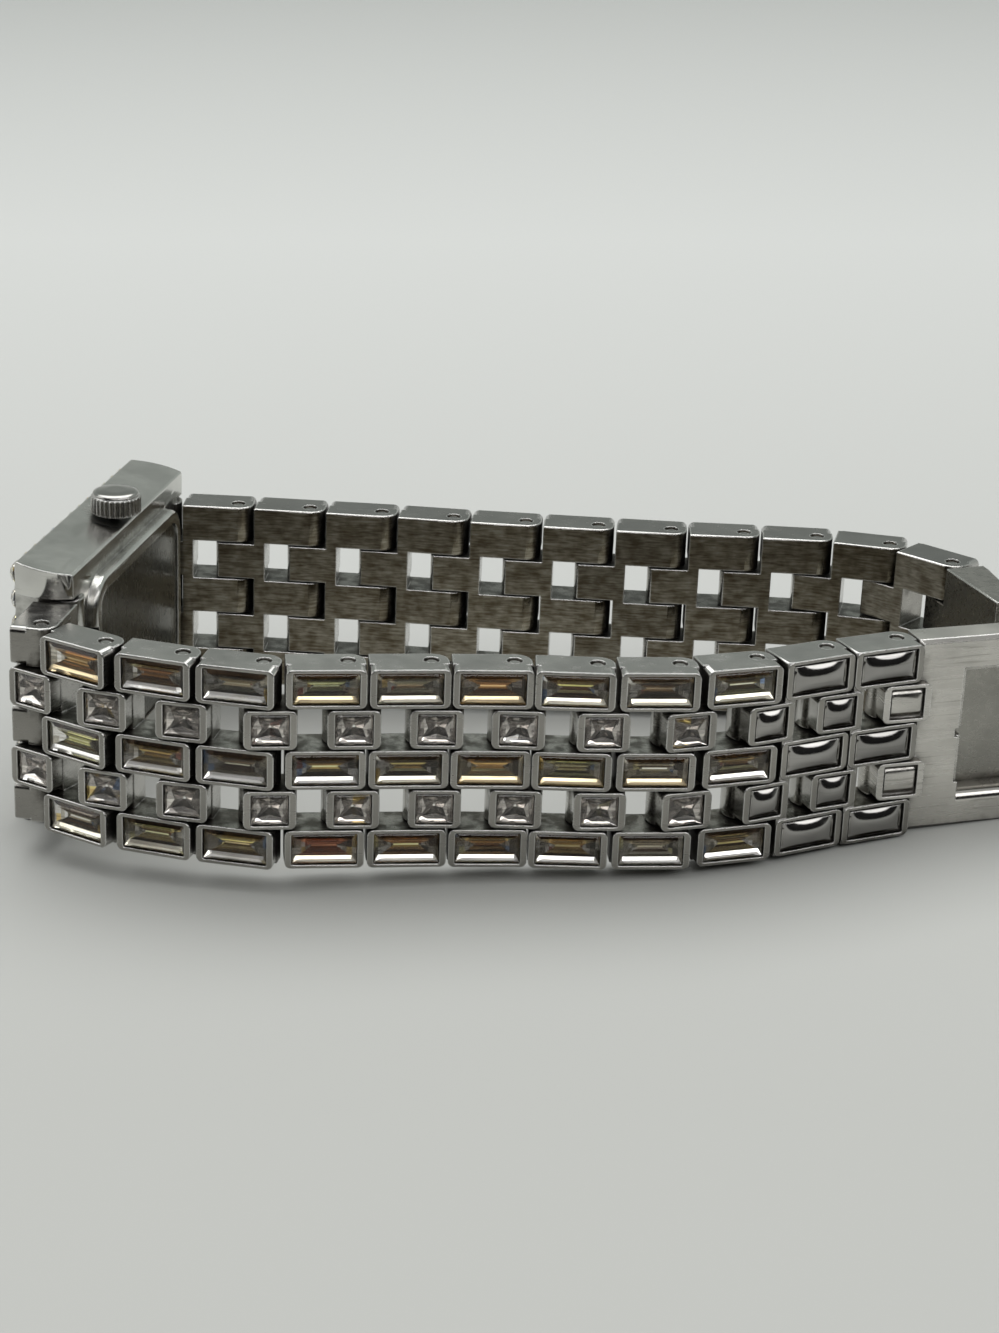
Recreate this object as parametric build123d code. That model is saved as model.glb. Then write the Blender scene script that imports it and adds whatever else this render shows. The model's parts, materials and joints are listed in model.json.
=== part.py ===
from build123d import *
import math
import os

# Crystal set bracelet watch, lying on the lower flank of its case with the crown up
# All lengths are millimetres and all angles are degrees

# Bracelet band
LINK_PITCH = 6.2
ROW_PITCH = 3.24
ROW_COUNT = 5
ROW_CLEARANCE = 0.16
BAND_THICKNESS = 3.4
LINK_END_GAP = 0.22
HINGE_PLACE_SHARE = 0.75
SPINE_SHARE = 0.15
NARROW_FRONT_SHARE = 0.50
NARROW_BACK_SHARE = 0.14
NARROW_BULGE_SHARE = 0.05
EDGE_BEVEL = 0.06
NEAR_CRYSTAL_LINKS = 10
FAR_CRYSTAL_LINKS = 9
PLAIN_LINKS = 2

# Hinge pins of the band
PIN_RADIUS = 0.55
PIN_CLEARANCE = 0.05
PIN_RECESS = 0.12
PIN_CHAMFER = 0.17
PIN_ROOF = 0.2

# Setting cups, stones and polished pads
CUP_CORNER_RADIUS = 0.5
CUP_END_RIM = 0.5
CUP_SIDE_RIM = 0.27
SQUARE_CUP_END_RIM = 0.55
STONE_CLEARANCE = 0.03
STONE_SINK = 0.04
STONE_CROWN = 0.42
STONE_GIRDLE = 0.12
BAGUETTE_SIDE_FACET = 0.62
BAGUETTE_END_FACET = 0.85
SQUARE_FACET = 0.62
KEEL_WIDTH = 0.12
PAD_GROOVE = 0.16
PAD_CROWN = 0.42
PAD_END_CROWN = 0.16
PLAIN_SPINE_DROP = 0.1

# Rest angles of the band, each one the inward bend at a hinge from the head to the clasp
CASE_HEADING = 79.3
NEAR_BENDS = (1.5, 69, 14.5, 5.5, 17, 0, -2, -3.5, 4.5, 12.5, 9, -3)
FAR_BENDS = (80.7, 1.7, 0, 1.8, -1.2, -0.6, 0, -2.5, 1.7, 9.6, 28.3)
COVER_BEND = -6.5

# Watch case
CASE_LENGTH = 27.5
CASE_WIDTH = 21.8
CASE_THICKNESS = 4.75
CASE_FLANK_TAPER = 0.65
CASE_END_BULGE = 0.6
CASE_EDGE_RADIUS = 0.25
LUG_PIN_INSET = 1.25
LUG_PIN_HEIGHT = 0.95
LUG_SWING_CLEARANCE = 0.15
LUG_SIDE_CLEARANCE = 0.15
BEZEL_WIDTH = 2.7
BEZEL_CORNER_RADIUS = 1.6
LEDGE_WIDTH = 0.5

# Back collar, back plate and gasket
COLLAR_LUG_GAP = 0.27
COLLAR_MARGIN = 2.4
COLLAR_HEIGHT = 0.9
COLLAR_WALL = 1.1
COLLAR_CORNER_RADIUS = 2.6
COLLAR_RIM_RADIUS = 0.4
BACK_THICKNESS = 0.7
BACK_RECESS = 0.15
SEAM = 0.08
GASKET_WIDTH = 0.6
GASKET_THICKNESS = 0.4

# Glass, dial, markers and hands
GLASS_THICKNESS = 0.9
GLASS_RISE = 0.3
GLASS_CLEARANCE = 0.04
DIAL_THICKNESS = 0.4
MARKER_LENGTH = 1.9
MARKER_WIDTH = 0.4
MARKER_THICKNESS = 0.12
MARKER_MARGIN = 0.9
MARKER_COUNT = 12
HAND_THICKNESS = 0.15
HAND_GAP = 0.1
HOUR_HAND_MARGIN = 3.8
MINUTE_HAND_MARGIN = 1.6
SECOND_HAND_MARGIN = 1.3
HOUR_HAND_WIDTH = 0.9
MINUTE_HAND_WIDTH = 0.65
SECOND_HAND_WIDTH = 0.2
HAND_TAIL = 1.5
HAND_HUB_RADIUS = 0.95
CENTRE_POST_RADIUS = 0.4
CENTRE_CLEARANCE = 0.05
HOUR_HAND_ANGLE = 60
MINUTE_HAND_ANGLE = -60
SECOND_HAND_ANGLE = 150

# Movement and battery
MOVEMENT_END_INSET = 1.1
MOVEMENT_SIDE_INSET = 0.5
MOVEMENT_CORNER_RADIUS = 1.2
MOVEMENT_GAP = 0.08
CAVITY_CLEARANCE = 0.2
BATTERY_RADIUS = 3.4
BATTERY_WEB = 0.25
BATTERY_CLEARANCE = 0.05
BATTERY_END_INSET = 0.7

# Crown and stem
CROWN_RADIUS = 1.8
CROWN_HEIGHT = 1.85
CROWN_GAP = 0.08
CROWN_DOME = 0.2
CROWN_EDGE_RADIUS = 0.3
CROWN_FLANGE_RADIUS = 2.05
CROWN_FLANGE_HEIGHT = 0.85
CROWN_FLUTES = 18
CROWN_FLUTE_RADIUS = 0.26
CROWN_PLINTH = 0.2
CROWN_PLACE_HEIGHT = 1.2
STEM_RADIUS = 0.45
STEM_CLEARANCE = 0.05
STEM_DEPTH = 7.4
STEM_SOCKET = 1.5
STEM_TRAVEL = 1.0

# Stones round the bezel
BEZEL_STONE_RADIUS = 0.92
BEZEL_STONE_SPACING = 2.02
BEZEL_STONE_TABLE_SHARE = 0.55
BEZEL_STONE_CROWN = 0.38
BEZEL_STONE_PAVILION = 0.7
BEZEL_STONE_PROUD = 0.55
BEZEL_STONE_SIDES = 8

# Clasp cover, catch plate and tongue
COVER_LENGTH = 16.5
COVER_THICKNESS = 2.5
COVER_BEVEL = 0.3
WINDOW_START = 4.3
WINDOW_LENGTH = 8.5
WINDOW_TOP_MARGIN = 2.95
WINDOW_BOTTOM_MARGIN = 3.0
WINDOW_REBATE = 0.35
WINDOW_SILL_RADIUS = 0.9
NOTCH_WIDTH = 0.7
NOTCH_DEPTH = 0.3
CATCH_MARGIN = 0.9
CATCH_THICKNESS = 0.45
CATCH_CLEARANCE = 0.05
CATCH_PLACE = 11.0
CATCH_HEIGHT = 1.7
EAR_THICKNESS = 1.1
EAR_REACH = 1.6
BAR_RADIUS = 0.55
BAR_CLEARANCE = 0.05
BAR_KNUCKLE_RADIUS = 1.05
BAR_SEAT_CLEARANCE = 0.25
TONGUE_NECK_WIDTH = 7.4
TONGUE_NECK_LENGTH = 2.6
TONGUE_SIDE_CLEARANCE = 0.2

# One overrun serves every cut
OVERRUN = 1.0

# Sizes that follow from the ones above
BAND_WIDTH = ROW_PITCH * ROW_COUNT
FINGER_WIDTH = ROW_PITCH - ROW_CLEARANCE
BAND_MARGIN = (CASE_WIDTH - BAND_WIDTH) / 2
PIN_PLACE = HINGE_PLACE_SHARE * LINK_PITCH
PIN_BACK = LINK_PITCH - PIN_PLACE
KNUCKLE_RADIUS = PIN_BACK - LINK_END_GAP
PIN_HEIGHT = KNUCKLE_RADIUS
PIN_HOLE_RADIUS = PIN_RADIUS + PIN_CLEARANCE
CUP_FLOOR = PIN_HEIGHT + PIN_HOLE_RADIUS + PIN_ROOF
CUP_DEPTH = BAND_THICKNESS - CUP_FLOOR
SPINE_LENGTH = SPINE_SHARE * LINK_PITCH
NARROW_START = -NARROW_FRONT_SHARE * LINK_PITCH
NARROW_END = NARROW_BACK_SHARE * LINK_PITCH
NARROW_BULGE = NARROW_BULGE_SHARE * LINK_PITCH
FINGER_TIP = PIN_PLACE + KNUCKLE_RADIUS
WIDE_ROWS = range(0, ROW_COUNT, 2)
NARROW_ROWS = range(1, ROW_COUNT, 2)
MID_WIDTH = CASE_WIDTH / 2
LUG_HALF = CASE_LENGTH / 2 - LUG_PIN_INSET
COLLAR_LENGTH = 2 * (LUG_HALF - KNUCKLE_RADIUS - COLLAR_LUG_GAP)
COLLAR_WIDTH = CASE_WIDTH - 2 * COLLAR_MARGIN
SEAT_LENGTH = COLLAR_LENGTH - 2 * COLLAR_WALL
SEAT_WIDTH = COLLAR_WIDTH - 2 * COLLAR_WALL
SEAT_RADIUS = COLLAR_CORNER_RADIUS - COLLAR_WALL
BACK_BASE = BACK_RECESS - COLLAR_HEIGHT
GASKET_BASE = BACK_BASE + BACK_THICKNESS
GASKET_TOP = GASKET_BASE + GASKET_THICKNESS
HAND_STACK = MARKER_THICKNESS + 3 * (HAND_THICKNESS + HAND_GAP) + HAND_GAP
DIAL_TOP = CASE_THICKNESS + GLASS_RISE - GLASS_THICKNESS - HAND_STACK
DIAL_BASE = DIAL_TOP - DIAL_THICKNESS
MOVEMENT_BASE = GASKET_TOP + MOVEMENT_GAP
MOVEMENT_LENGTH = SEAT_LENGTH - 2 * MOVEMENT_END_INSET
MOVEMENT_WIDTH = SEAT_WIDTH - 2 * MOVEMENT_SIDE_INSET
BATTERY_THICKNESS = DIAL_BASE - MOVEMENT_BASE - BATTERY_WEB
BATTERY_OFFSET = MOVEMENT_LENGTH / 2 - BATTERY_RADIUS - BATTERY_END_INSET
OPENING_LENGTH = CASE_LENGTH - 2 * BEZEL_WIDTH
OPENING_WIDTH = CASE_WIDTH - 2 * BEZEL_WIDTH
HOUR_HAND_LENGTH = OPENING_WIDTH / 2 - HOUR_HAND_MARGIN
MINUTE_HAND_LENGTH = OPENING_WIDTH / 2 - MINUTE_HAND_MARGIN
SECOND_HAND_LENGTH = OPENING_WIDTH / 2 - SECOND_HAND_MARGIN
CROWN_REACH = CROWN_PLACE_HEIGHT + CROWN_FLANGE_RADIUS
CROWN_BASE = CASE_WIDTH - CASE_FLANK_TAPER * (1 - CROWN_REACH / CASE_THICKNESS) + CROWN_GAP


# Helpers

def row_base(row):
    """Height of the lower face of a finger in a row of the band."""
    return row * ROW_PITCH + ROW_CLEARANCE / 2


def upright(sketch, height, base=0.0):
    """A plan outline raised along Z from a base height."""
    return Pos(0, 0, base) * extrude(sketch, amount=height)


def facing_out(sketch, low, high):
    """An outline drawn in length and width, raised along +Y between two heights."""
    raised = extrude(sketch, amount=high - low)
    return Pos(0, low, 0) * Rot(-90, 0, 0) * raised


def slab(length, width, low, high, radius, centre_x=0.0, centre_z=0.0):
    """A plate with rounded corners whose faces look along Y."""
    outline = RectangleRounded(length, width, radius)
    return Pos(centre_x, 0, centre_z) * facing_out(outline, low, high)


def upright_rod(x, y, radius, base, height):
    """A round bar along Z."""
    return Pos(x, y, base) * Cylinder(radius, height, align=(Align.CENTER, Align.CENTER, Align.MIN))


def outward_rod(x, z, radius, low, high):
    """A round bar along Y."""
    return facing_out(Pos(x, -z) * Circle(radius), low, high)


def block(low, high):
    """A box between two opposite corners."""
    size = [b - a for a, b in zip(low, high)]
    centre = [(a + b) / 2 for a, b in zip(low, high)]
    return Pos(*centre) * Box(*size)


def group(solids):
    """Separate solids that share one node."""
    return Compound(children=[s for piece in solids for s in piece.solids()])


def faceted(levels):
    """A cut stone from (height, length, width) levels joined by flat facets."""
    faces = []
    for height, length, width in levels:
        faces.append(Pos(0, height, 0) * Rot(-90, 0, 0) * Rectangle(length, width))
    return loft(faces, ruled=True)


# Pieces of one link, drawn with its inner face on Y = 0 and its lower edge on Z = 0

def wide_finger(row):
    """A finger that reaches towards the clasp and wraps the hinge pin."""
    with BuildSketch() as outline:
        with BuildLine():
            Line((0, 0), (0, CUP_FLOOR))
            Line((0, CUP_FLOOR), (FINGER_TIP, CUP_FLOOR))
            Line((FINGER_TIP, CUP_FLOOR), (FINGER_TIP, PIN_HEIGHT))
            CenterArc((PIN_PLACE, PIN_HEIGHT), KNUCKLE_RADIUS, 0, -90)
            Line((PIN_PLACE, 0), (0, 0))
        make_face()
    return upright(outline.sketch, FINGER_WIDTH, row_base(row))


def narrow_finger(row):
    """A finger that reaches back between the wide fingers of the link before."""
    with BuildSketch() as outline:
        with BuildLine():
            Line((SPINE_LENGTH, 0), (SPINE_LENGTH, CUP_FLOOR))
            Line((SPINE_LENGTH, CUP_FLOOR), (NARROW_START, CUP_FLOOR))
            ThreePointArc(
                (NARROW_START, CUP_FLOOR),
                (NARROW_START - NARROW_BULGE, CUP_FLOOR / 2),
                (NARROW_START, 0),
            )
            Line((NARROW_START, 0), (SPINE_LENGTH, 0))
        make_face()
    return upright(outline.sketch, FINGER_WIDTH, row_base(row))


def cup(start, end, row, height):
    """The raised block of a setting, with rounded corners."""
    centre_x = (start + end) / 2
    centre_z = row_base(row) + FINGER_WIDTH / 2
    return slab(end - start, FINGER_WIDTH, CUP_FLOOR, height, CUP_CORNER_RADIUS, centre_x, centre_z)


def pocket(start, end, row, end_rim, floor):
    """The space inside a setting's rim."""
    length = end - start - 2 * end_rim
    width = FINGER_WIDTH - 2 * CUP_SIDE_RIM
    centre_z = row_base(row) + FINGER_WIDTH / 2
    corner = CUP_CORNER_RADIUS / 4
    return slab(length, width, floor, BAND_THICKNESS + OVERRUN, corner, (start + end) / 2, centre_z)


def arc_radius(chord, rise):
    """Radius of the arc that rises over a chord by a height."""
    return (chord * chord / 4 + rise * rise) / (2 * rise)


def polished_pad(start, end, row, end_rim):
    """A pad that is domed along and across, inside its thin rim, as on the links without stones."""
    length = end - start - 2 * end_rim - 2 * PAD_GROOVE
    width = FINGER_WIDTH - 2 * CUP_SIDE_RIM - 2 * PAD_GROOVE
    centre_z = row_base(row) + FINGER_WIDTH / 2
    centre_x = (start + end) / 2
    across = arc_radius(width, PAD_CROWN)
    along = arc_radius(length, PAD_END_CROWN)
    plate = slab(length, width, CUP_FLOOR, BAND_THICKNESS, CUP_CORNER_RADIUS / 2, centre_x, centre_z)
    plate &= Pos(centre_x, BAND_THICKNESS - across, centre_z) * Rot(0, 90, 0) * Cylinder(across, length)
    return plate & Pos(centre_x, BAND_THICKNESS - along, centre_z) * Cylinder(along, width)


SETTINGS = [(0.0, FINGER_TIP, row, CUP_END_RIM) for row in WIDE_ROWS]
SETTINGS += [(NARROW_START, NARROW_END, row, SQUARE_CUP_END_RIM) for row in NARROW_ROWS]


def bevel_ends(casting, reach):
    """A bevel round the upper and lower faces of a casting, on the edges that lie below a reach along Y."""
    for place in (-1, 0):
        face = casting.faces().sort_by(Axis.Z)[place]
        casting = chamfer([edge for edge in face.edges() if edge.center().Y < reach], EDGE_BEVEL)
    return casting


def link_casting(plain):
    """One link: a spine, three wide fingers and two narrow ones, each with a setting on it."""
    base = row_base(0)
    length = row_base(ROW_COUNT - 1) + FINGER_WIDTH - base
    spine_top = BAND_THICKNESS - PLAIN_SPINE_DROP if plain else CUP_FLOOR
    casting = block((0, 0, base), (SPINE_LENGTH, spine_top, base + length))
    for row in WIDE_ROWS:
        casting += wide_finger(row)
    for row in NARROW_ROWS:
        casting += narrow_finger(row)
    casting = bevel_ends(casting, CUP_FLOOR - EDGE_BEVEL)
    for start, end, row, end_rim in SETTINGS:
        casting += cup(start, end, row, BAND_THICKNESS)
    for start, end, row, end_rim in SETTINGS:
        floor = BAND_THICKNESS - PAD_CROWN if plain else CUP_FLOOR
        casting -= pocket(start, end, row, end_rim, floor)
    if plain:
        for start, end, row, end_rim in SETTINGS:
            casting += polished_pad(start, end, row, end_rim)
    for place in (PIN_PLACE, -PIN_BACK):
        casting -= upright_rod(place, PIN_HEIGHT, PIN_HOLE_RADIUS, -OVERRUN, BAND_WIDTH + 2 * OVERRUN)
    return casting


def link_pin():
    """The pin through the wide fingers of a link, sunk a little at both ends, which are chamfered."""
    base = row_base(0) + PIN_RECESS
    pin = upright_rod(PIN_PLACE, PIN_HEIGHT, PIN_RADIUS, base, BAND_WIDTH - 2 * base)
    return chamfer(pin.edges().filter_by(GeomType.CIRCLE), PIN_CHAMFER)


def link_stones():
    """Three long stones and two square ones, cut with steps above and a keel below."""
    top = BAND_THICKNESS - STONE_SINK
    girdle_top = top - STONE_CROWN
    girdle_base = girdle_top - STONE_GIRDLE
    stones = []
    for start, end, row, end_rim in SETTINGS:
        long_cut = row in WIDE_ROWS
        length = end - start - 2 * end_rim - 2 * STONE_CLEARANCE
        width = FINGER_WIDTH - 2 * CUP_SIDE_RIM - 2 * STONE_CLEARANCE
        end_facet = BAGUETTE_END_FACET if long_cut else SQUARE_FACET
        side_facet = BAGUETTE_SIDE_FACET if long_cut else SQUARE_FACET
        keel_length = length - width + KEEL_WIDTH if long_cut else KEEL_WIDTH
        table = (top, length - 2 * end_facet, width - 2 * side_facet)
        crown = faceted([(girdle_top, length, width), table])
        girdle = faceted([(girdle_base, length, width), (girdle_top, length, width)])
        keel = faceted([(CUP_FLOOR, keel_length, KEEL_WIDTH), (girdle_base, length, width)])
        centre_z = row_base(row) + FINGER_WIDTH / 2
        stones.append(Pos((start + end) / 2, 0, centre_z) * (crown + girdle + keel))
    return stones


# The watch case, drawn with its back on Y = 0, its dial side up +Y and its lower flank on Z = 0

def end_profile(inset):
    """Case outline seen along its flank, with both ends bowed out."""
    half = CASE_LENGTH / 2 - inset
    with BuildSketch() as outline:
        with BuildLine():
            Line((-half, inset), (half, inset))
            ThreePointArc(
                (half, inset),
                (half + CASE_END_BULGE, CASE_THICKNESS / 2),
                (half, CASE_THICKNESS - inset),
            )
            Line((half, CASE_THICKNESS - inset), (-half, CASE_THICKNESS - inset))
            ThreePointArc(
                (-half, CASE_THICKNESS - inset),
                (-half - CASE_END_BULGE, CASE_THICKNESS / 2),
                (-half, inset),
            )
        make_face()
    return outline.sketch


def flank_wedge():
    """A bar along the case whose two flanks lean in towards the back."""
    section = Polygon(
        (0, CASE_FLANK_TAPER), (CASE_THICKNESS, 0), (CASE_THICKNESS, CASE_WIDTH),
        (0, CASE_WIDTH - CASE_FLANK_TAPER), align=None,
    )
    half = CASE_LENGTH / 2 + CASE_END_BULGE + OVERRUN
    return Pos(-half, 0, 0) * extrude(Plane.YZ * section, amount=2 * half)


def lug_cuts(side):
    """What is taken from one end of the case so that the first link can swing."""
    pin_x = side * LUG_HALF
    face_x = side * (LUG_HALF + KNUCKLE_RADIUS)
    far_x = side * (CASE_LENGTH / 2 + CASE_END_BULGE + OVERRUN)
    low_x, high_x = sorted((face_x, far_x))
    base = BAND_MARGIN - LUG_SIDE_CLEARANCE
    top = BAND_MARGIN + BAND_WIDTH + LUG_SIDE_CLEARANCE
    cuts = [block((low_x, -OVERRUN, base), (high_x, CASE_THICKNESS + OVERRUN, top))]
    low_x, high_x = sorted((pin_x, far_x))
    cuts.append(block((low_x, -OVERRUN - COLLAR_HEIGHT, base), (high_x, LUG_PIN_HEIGHT, top)))
    swing = math.hypot(BAND_THICKNESS - PIN_HEIGHT, -NARROW_START - PIN_BACK) + LUG_SWING_CLEARANCE
    for row in NARROW_ROWS:
        slot_base = BAND_MARGIN + row_base(row) - LUG_SIDE_CLEARANCE
        slot_height = FINGER_WIDTH + 2 * LUG_SIDE_CLEARANCE
        cuts.append(upright_rod(pin_x, LUG_PIN_HEIGHT, swing, slot_base, slot_height))
        corner = (high_x, LUG_PIN_HEIGHT + swing, slot_base + slot_height)
        cuts.append(block((low_x, -OVERRUN - COLLAR_HEIGHT, slot_base), corner))
    return cuts


def lug_knuckles(side):
    """The case's own rounded knuckles round a lug pin."""
    knuckles = []
    for row in WIDE_ROWS:
        base = BAND_MARGIN + row_base(row)
        knuckles.append(upright_rod(side * LUG_HALF, LUG_PIN_HEIGHT, KNUCKLE_RADIUS, base, FINGER_WIDTH))
    return knuckles


def bezel_places():
    """Centres of the bezel stones, evenly spaced along the middle of the bezel."""
    length = CASE_LENGTH - BEZEL_WIDTH
    width = CASE_WIDTH - BEZEL_WIDTH
    places = []
    along = max(2, round(length / BEZEL_STONE_SPACING))
    across = max(2, round(width / BEZEL_STONE_SPACING))
    for i in range(along):
        x = -length / 2 + length * i / along
        places += [(x, -width / 2), (-x, width / 2)]
    for i in range(across):
        z = -width / 2 + width * i / across
        places += [(length / 2, z), (-length / 2, -z)]
    return places


def case_body():
    """Middle part, bezel, lugs and back collar of the case, in one piece of metal."""
    case = upright(end_profile(0.0), CASE_WIDTH) & flank_wedge()
    long_edges = case.edges().filter_by(Axis.X)
    case = fillet(long_edges, CASE_EDGE_RADIUS)
    collar = slab(
        COLLAR_LENGTH, COLLAR_WIDTH, -COLLAR_HEIGHT, CASE_EDGE_RADIUS, COLLAR_CORNER_RADIUS, 0, MID_WIDTH
    )
    rim = collar.faces().sort_by(Axis.Y)[0]
    case += fillet(rim.edges(), COLLAR_RIM_RADIUS)
    for side in (-1, 1):
        for cut in lug_cuts(side):
            case -= cut
        for knuckle in lug_knuckles(side):
            case += knuckle
        case -= upright_rod(
            side * LUG_HALF, LUG_PIN_HEIGHT, PIN_HOLE_RADIUS, BAND_MARGIN, BAND_WIDTH
        )
    case -= slab(
        SEAT_LENGTH, SEAT_WIDTH, -COLLAR_HEIGHT - OVERRUN, GASKET_TOP, SEAT_RADIUS, 0, MID_WIDTH
    )
    case -= slab(
        MOVEMENT_LENGTH + 2 * CAVITY_CLEARANCE, MOVEMENT_WIDTH + 2 * CAVITY_CLEARANCE, 0.0, DIAL_BASE,
        MOVEMENT_CORNER_RADIUS, 0, MID_WIDTH,
    )
    case -= slab(
        OPENING_LENGTH - 2 * LEDGE_WIDTH, OPENING_WIDTH - 2 * LEDGE_WIDTH, DIAL_BASE,
        CASE_THICKNESS + OVERRUN, BEZEL_CORNER_RADIUS - LEDGE_WIDTH, 0, MID_WIDTH,
    )
    glass_seat = CASE_THICKNESS + GLASS_RISE - GLASS_THICKNESS
    case -= slab(
        OPENING_LENGTH, OPENING_WIDTH, glass_seat, CASE_THICKNESS + OVERRUN, BEZEL_CORNER_RADIUS,
        0, MID_WIDTH,
    )
    stem_base = MID_WIDTH + MOVEMENT_WIDTH / 2
    case -= upright_rod(
        0, CROWN_PLACE_HEIGHT, STEM_RADIUS + STEM_CLEARANCE, stem_base, CASE_WIDTH - stem_base + OVERRUN
    )
    stone_base = CASE_THICKNESS + BEZEL_STONE_PROUD - BEZEL_STONE_CROWN - BEZEL_STONE_PAVILION
    for x, z in bezel_places():
        case -= outward_rod(
            x, MID_WIDTH + z, BEZEL_STONE_RADIUS + STONE_CLEARANCE, stone_base, CASE_THICKNESS + OVERRUN
        )
    return case


def bezel_stones():
    """Round cut stones in a row round the bezel."""
    top = CASE_THICKNESS + BEZEL_STONE_PROUD
    girdle = top - BEZEL_STONE_CROWN
    culet = girdle - BEZEL_STONE_PAVILION
    levels = (
        (culet, KEEL_WIDTH),
        (girdle, BEZEL_STONE_RADIUS),
        (top, BEZEL_STONE_RADIUS * BEZEL_STONE_TABLE_SHARE),
    )
    rings = []
    for height, radius in levels:
        ring = RegularPolygon(radius, BEZEL_STONE_SIDES)
        rings.append(Pos(0, height, 0) * Rot(-90, 0, 0) * ring)
    stone = loft(rings, ruled=True)
    return [Pos(x, 0, MID_WIDTH + z) * stone for x, z in bezel_places()]


def back_plate():
    """The flat plate that closes the back, inside the polished collar."""
    length, width = SEAT_LENGTH - 2 * SEAM, SEAT_WIDTH - 2 * SEAM
    return slab(length, width, BACK_BASE, GASKET_BASE, SEAT_RADIUS, 0, MID_WIDTH)


def back_gasket():
    """The seal between the back plate and the case."""
    length, width = SEAT_LENGTH - 2 * SEAM, SEAT_WIDTH - 2 * SEAM
    ring = slab(length, width, GASKET_BASE, GASKET_TOP, SEAT_RADIUS, 0, MID_WIDTH)
    inner_length, inner_width = length - 2 * GASKET_WIDTH, width - 2 * GASKET_WIDTH
    inner_radius = SEAT_RADIUS - GASKET_WIDTH
    return ring - slab(inner_length, inner_width, GASKET_BASE, GASKET_TOP, inner_radius, 0, MID_WIDTH)


def movement():
    """Quartz movement block with a battery recess, a stem hole and the post for the hands."""
    body = slab(
        MOVEMENT_LENGTH, MOVEMENT_WIDTH, MOVEMENT_BASE, DIAL_BASE, MOVEMENT_CORNER_RADIUS, 0, MID_WIDTH
    )
    body -= outward_rod(
        -BATTERY_OFFSET, MID_WIDTH, BATTERY_RADIUS + BATTERY_CLEARANCE, MOVEMENT_BASE,
        MOVEMENT_BASE + BATTERY_THICKNESS,
    )
    stem_end = CASE_WIDTH - STEM_DEPTH - STEM_CLEARANCE
    body -= upright_rod(
        0, CROWN_PLACE_HEIGHT, STEM_RADIUS + STEM_CLEARANCE, stem_end, MID_WIDTH
    )
    post_top = DIAL_TOP + HAND_STACK - HAND_GAP
    return body + outward_rod(0, MID_WIDTH, CENTRE_POST_RADIUS, DIAL_BASE, post_top)


def battery():
    """Button cell in the back of the movement."""
    return outward_rod(
        -BATTERY_OFFSET, MID_WIDTH, BATTERY_RADIUS, MOVEMENT_BASE, MOVEMENT_BASE + BATTERY_THICKNESS
    )


def dial():
    """Dial plate on top of the movement."""
    plate = slab(
        OPENING_LENGTH - 2 * LEDGE_WIDTH - 2 * SEAM, OPENING_WIDTH - 2 * LEDGE_WIDTH - 2 * SEAM, DIAL_BASE,
        DIAL_TOP, BEZEL_CORNER_RADIUS - LEDGE_WIDTH, 0, MID_WIDTH,
    )
    hole = outward_rod(0, MID_WIDTH, CENTRE_POST_RADIUS + CENTRE_CLEARANCE, DIAL_BASE, DIAL_TOP)
    return plate - hole


def dial_markers():
    """Plain bars round the dial, one for each hour."""
    half_length = OPENING_LENGTH / 2 - LEDGE_WIDTH - MARKER_MARGIN
    half_width = OPENING_WIDTH / 2 - LEDGE_WIDTH - MARKER_MARGIN
    markers = []
    for hour in range(MARKER_COUNT):
        turn = 360 * hour / MARKER_COUNT
        cos, sin = math.cos(math.radians(turn)), math.sin(math.radians(turn))
        reach = 1 / max(abs(cos) / half_length, abs(sin) / half_width)
        outline = Pos(reach - MARKER_LENGTH / 2, 0) * Rectangle(MARKER_LENGTH, MARKER_WIDTH)
        bar = facing_out(Rot(0, 0, turn) * outline, DIAL_TOP, DIAL_TOP + MARKER_THICKNESS)
        markers.append(Pos(0, 0, MID_WIDTH) * bar)
    return markers


def hand(level, length, width, turn, hub_radius):
    """A tapered hand with a hub that runs on the centre post."""
    low = DIAL_TOP + MARKER_THICKNESS + HAND_GAP / 2 + level * (HAND_THICKNESS + HAND_GAP)
    blade = Polygon(
        (-HAND_TAIL, -width / 4), (0, -width / 2), (length, -width / 8), (length, width / 8),
        (0, width / 2), (-HAND_TAIL, width / 4), align=None,
    )
    blank = facing_out(Rot(0, 0, turn) * blade, low, low + HAND_THICKNESS)
    blank += outward_rod(0, 0, hub_radius, low, low + HAND_THICKNESS)
    blank -= outward_rod(0, 0, CENTRE_POST_RADIUS + CENTRE_CLEARANCE, low, low + HAND_THICKNESS)
    return Pos(0, 0, MID_WIDTH) * blank


def glass():
    """Flat watch glass in the bezel opening."""
    top = CASE_THICKNESS + GLASS_RISE
    return slab(
        OPENING_LENGTH - 2 * GLASS_CLEARANCE, OPENING_WIDTH - 2 * GLASS_CLEARANCE, top - GLASS_THICKNESS,
        top, BEZEL_CORNER_RADIUS - GLASS_CLEARANCE, 0, MID_WIDTH,
    )


def stem():
    """Winding stem, from inside the movement to the crown."""
    base = CASE_WIDTH - STEM_DEPTH
    top = CROWN_BASE + STEM_SOCKET
    return upright_rod(0, CROWN_PLACE_HEIGHT, STEM_RADIUS, base, top - base)


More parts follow.
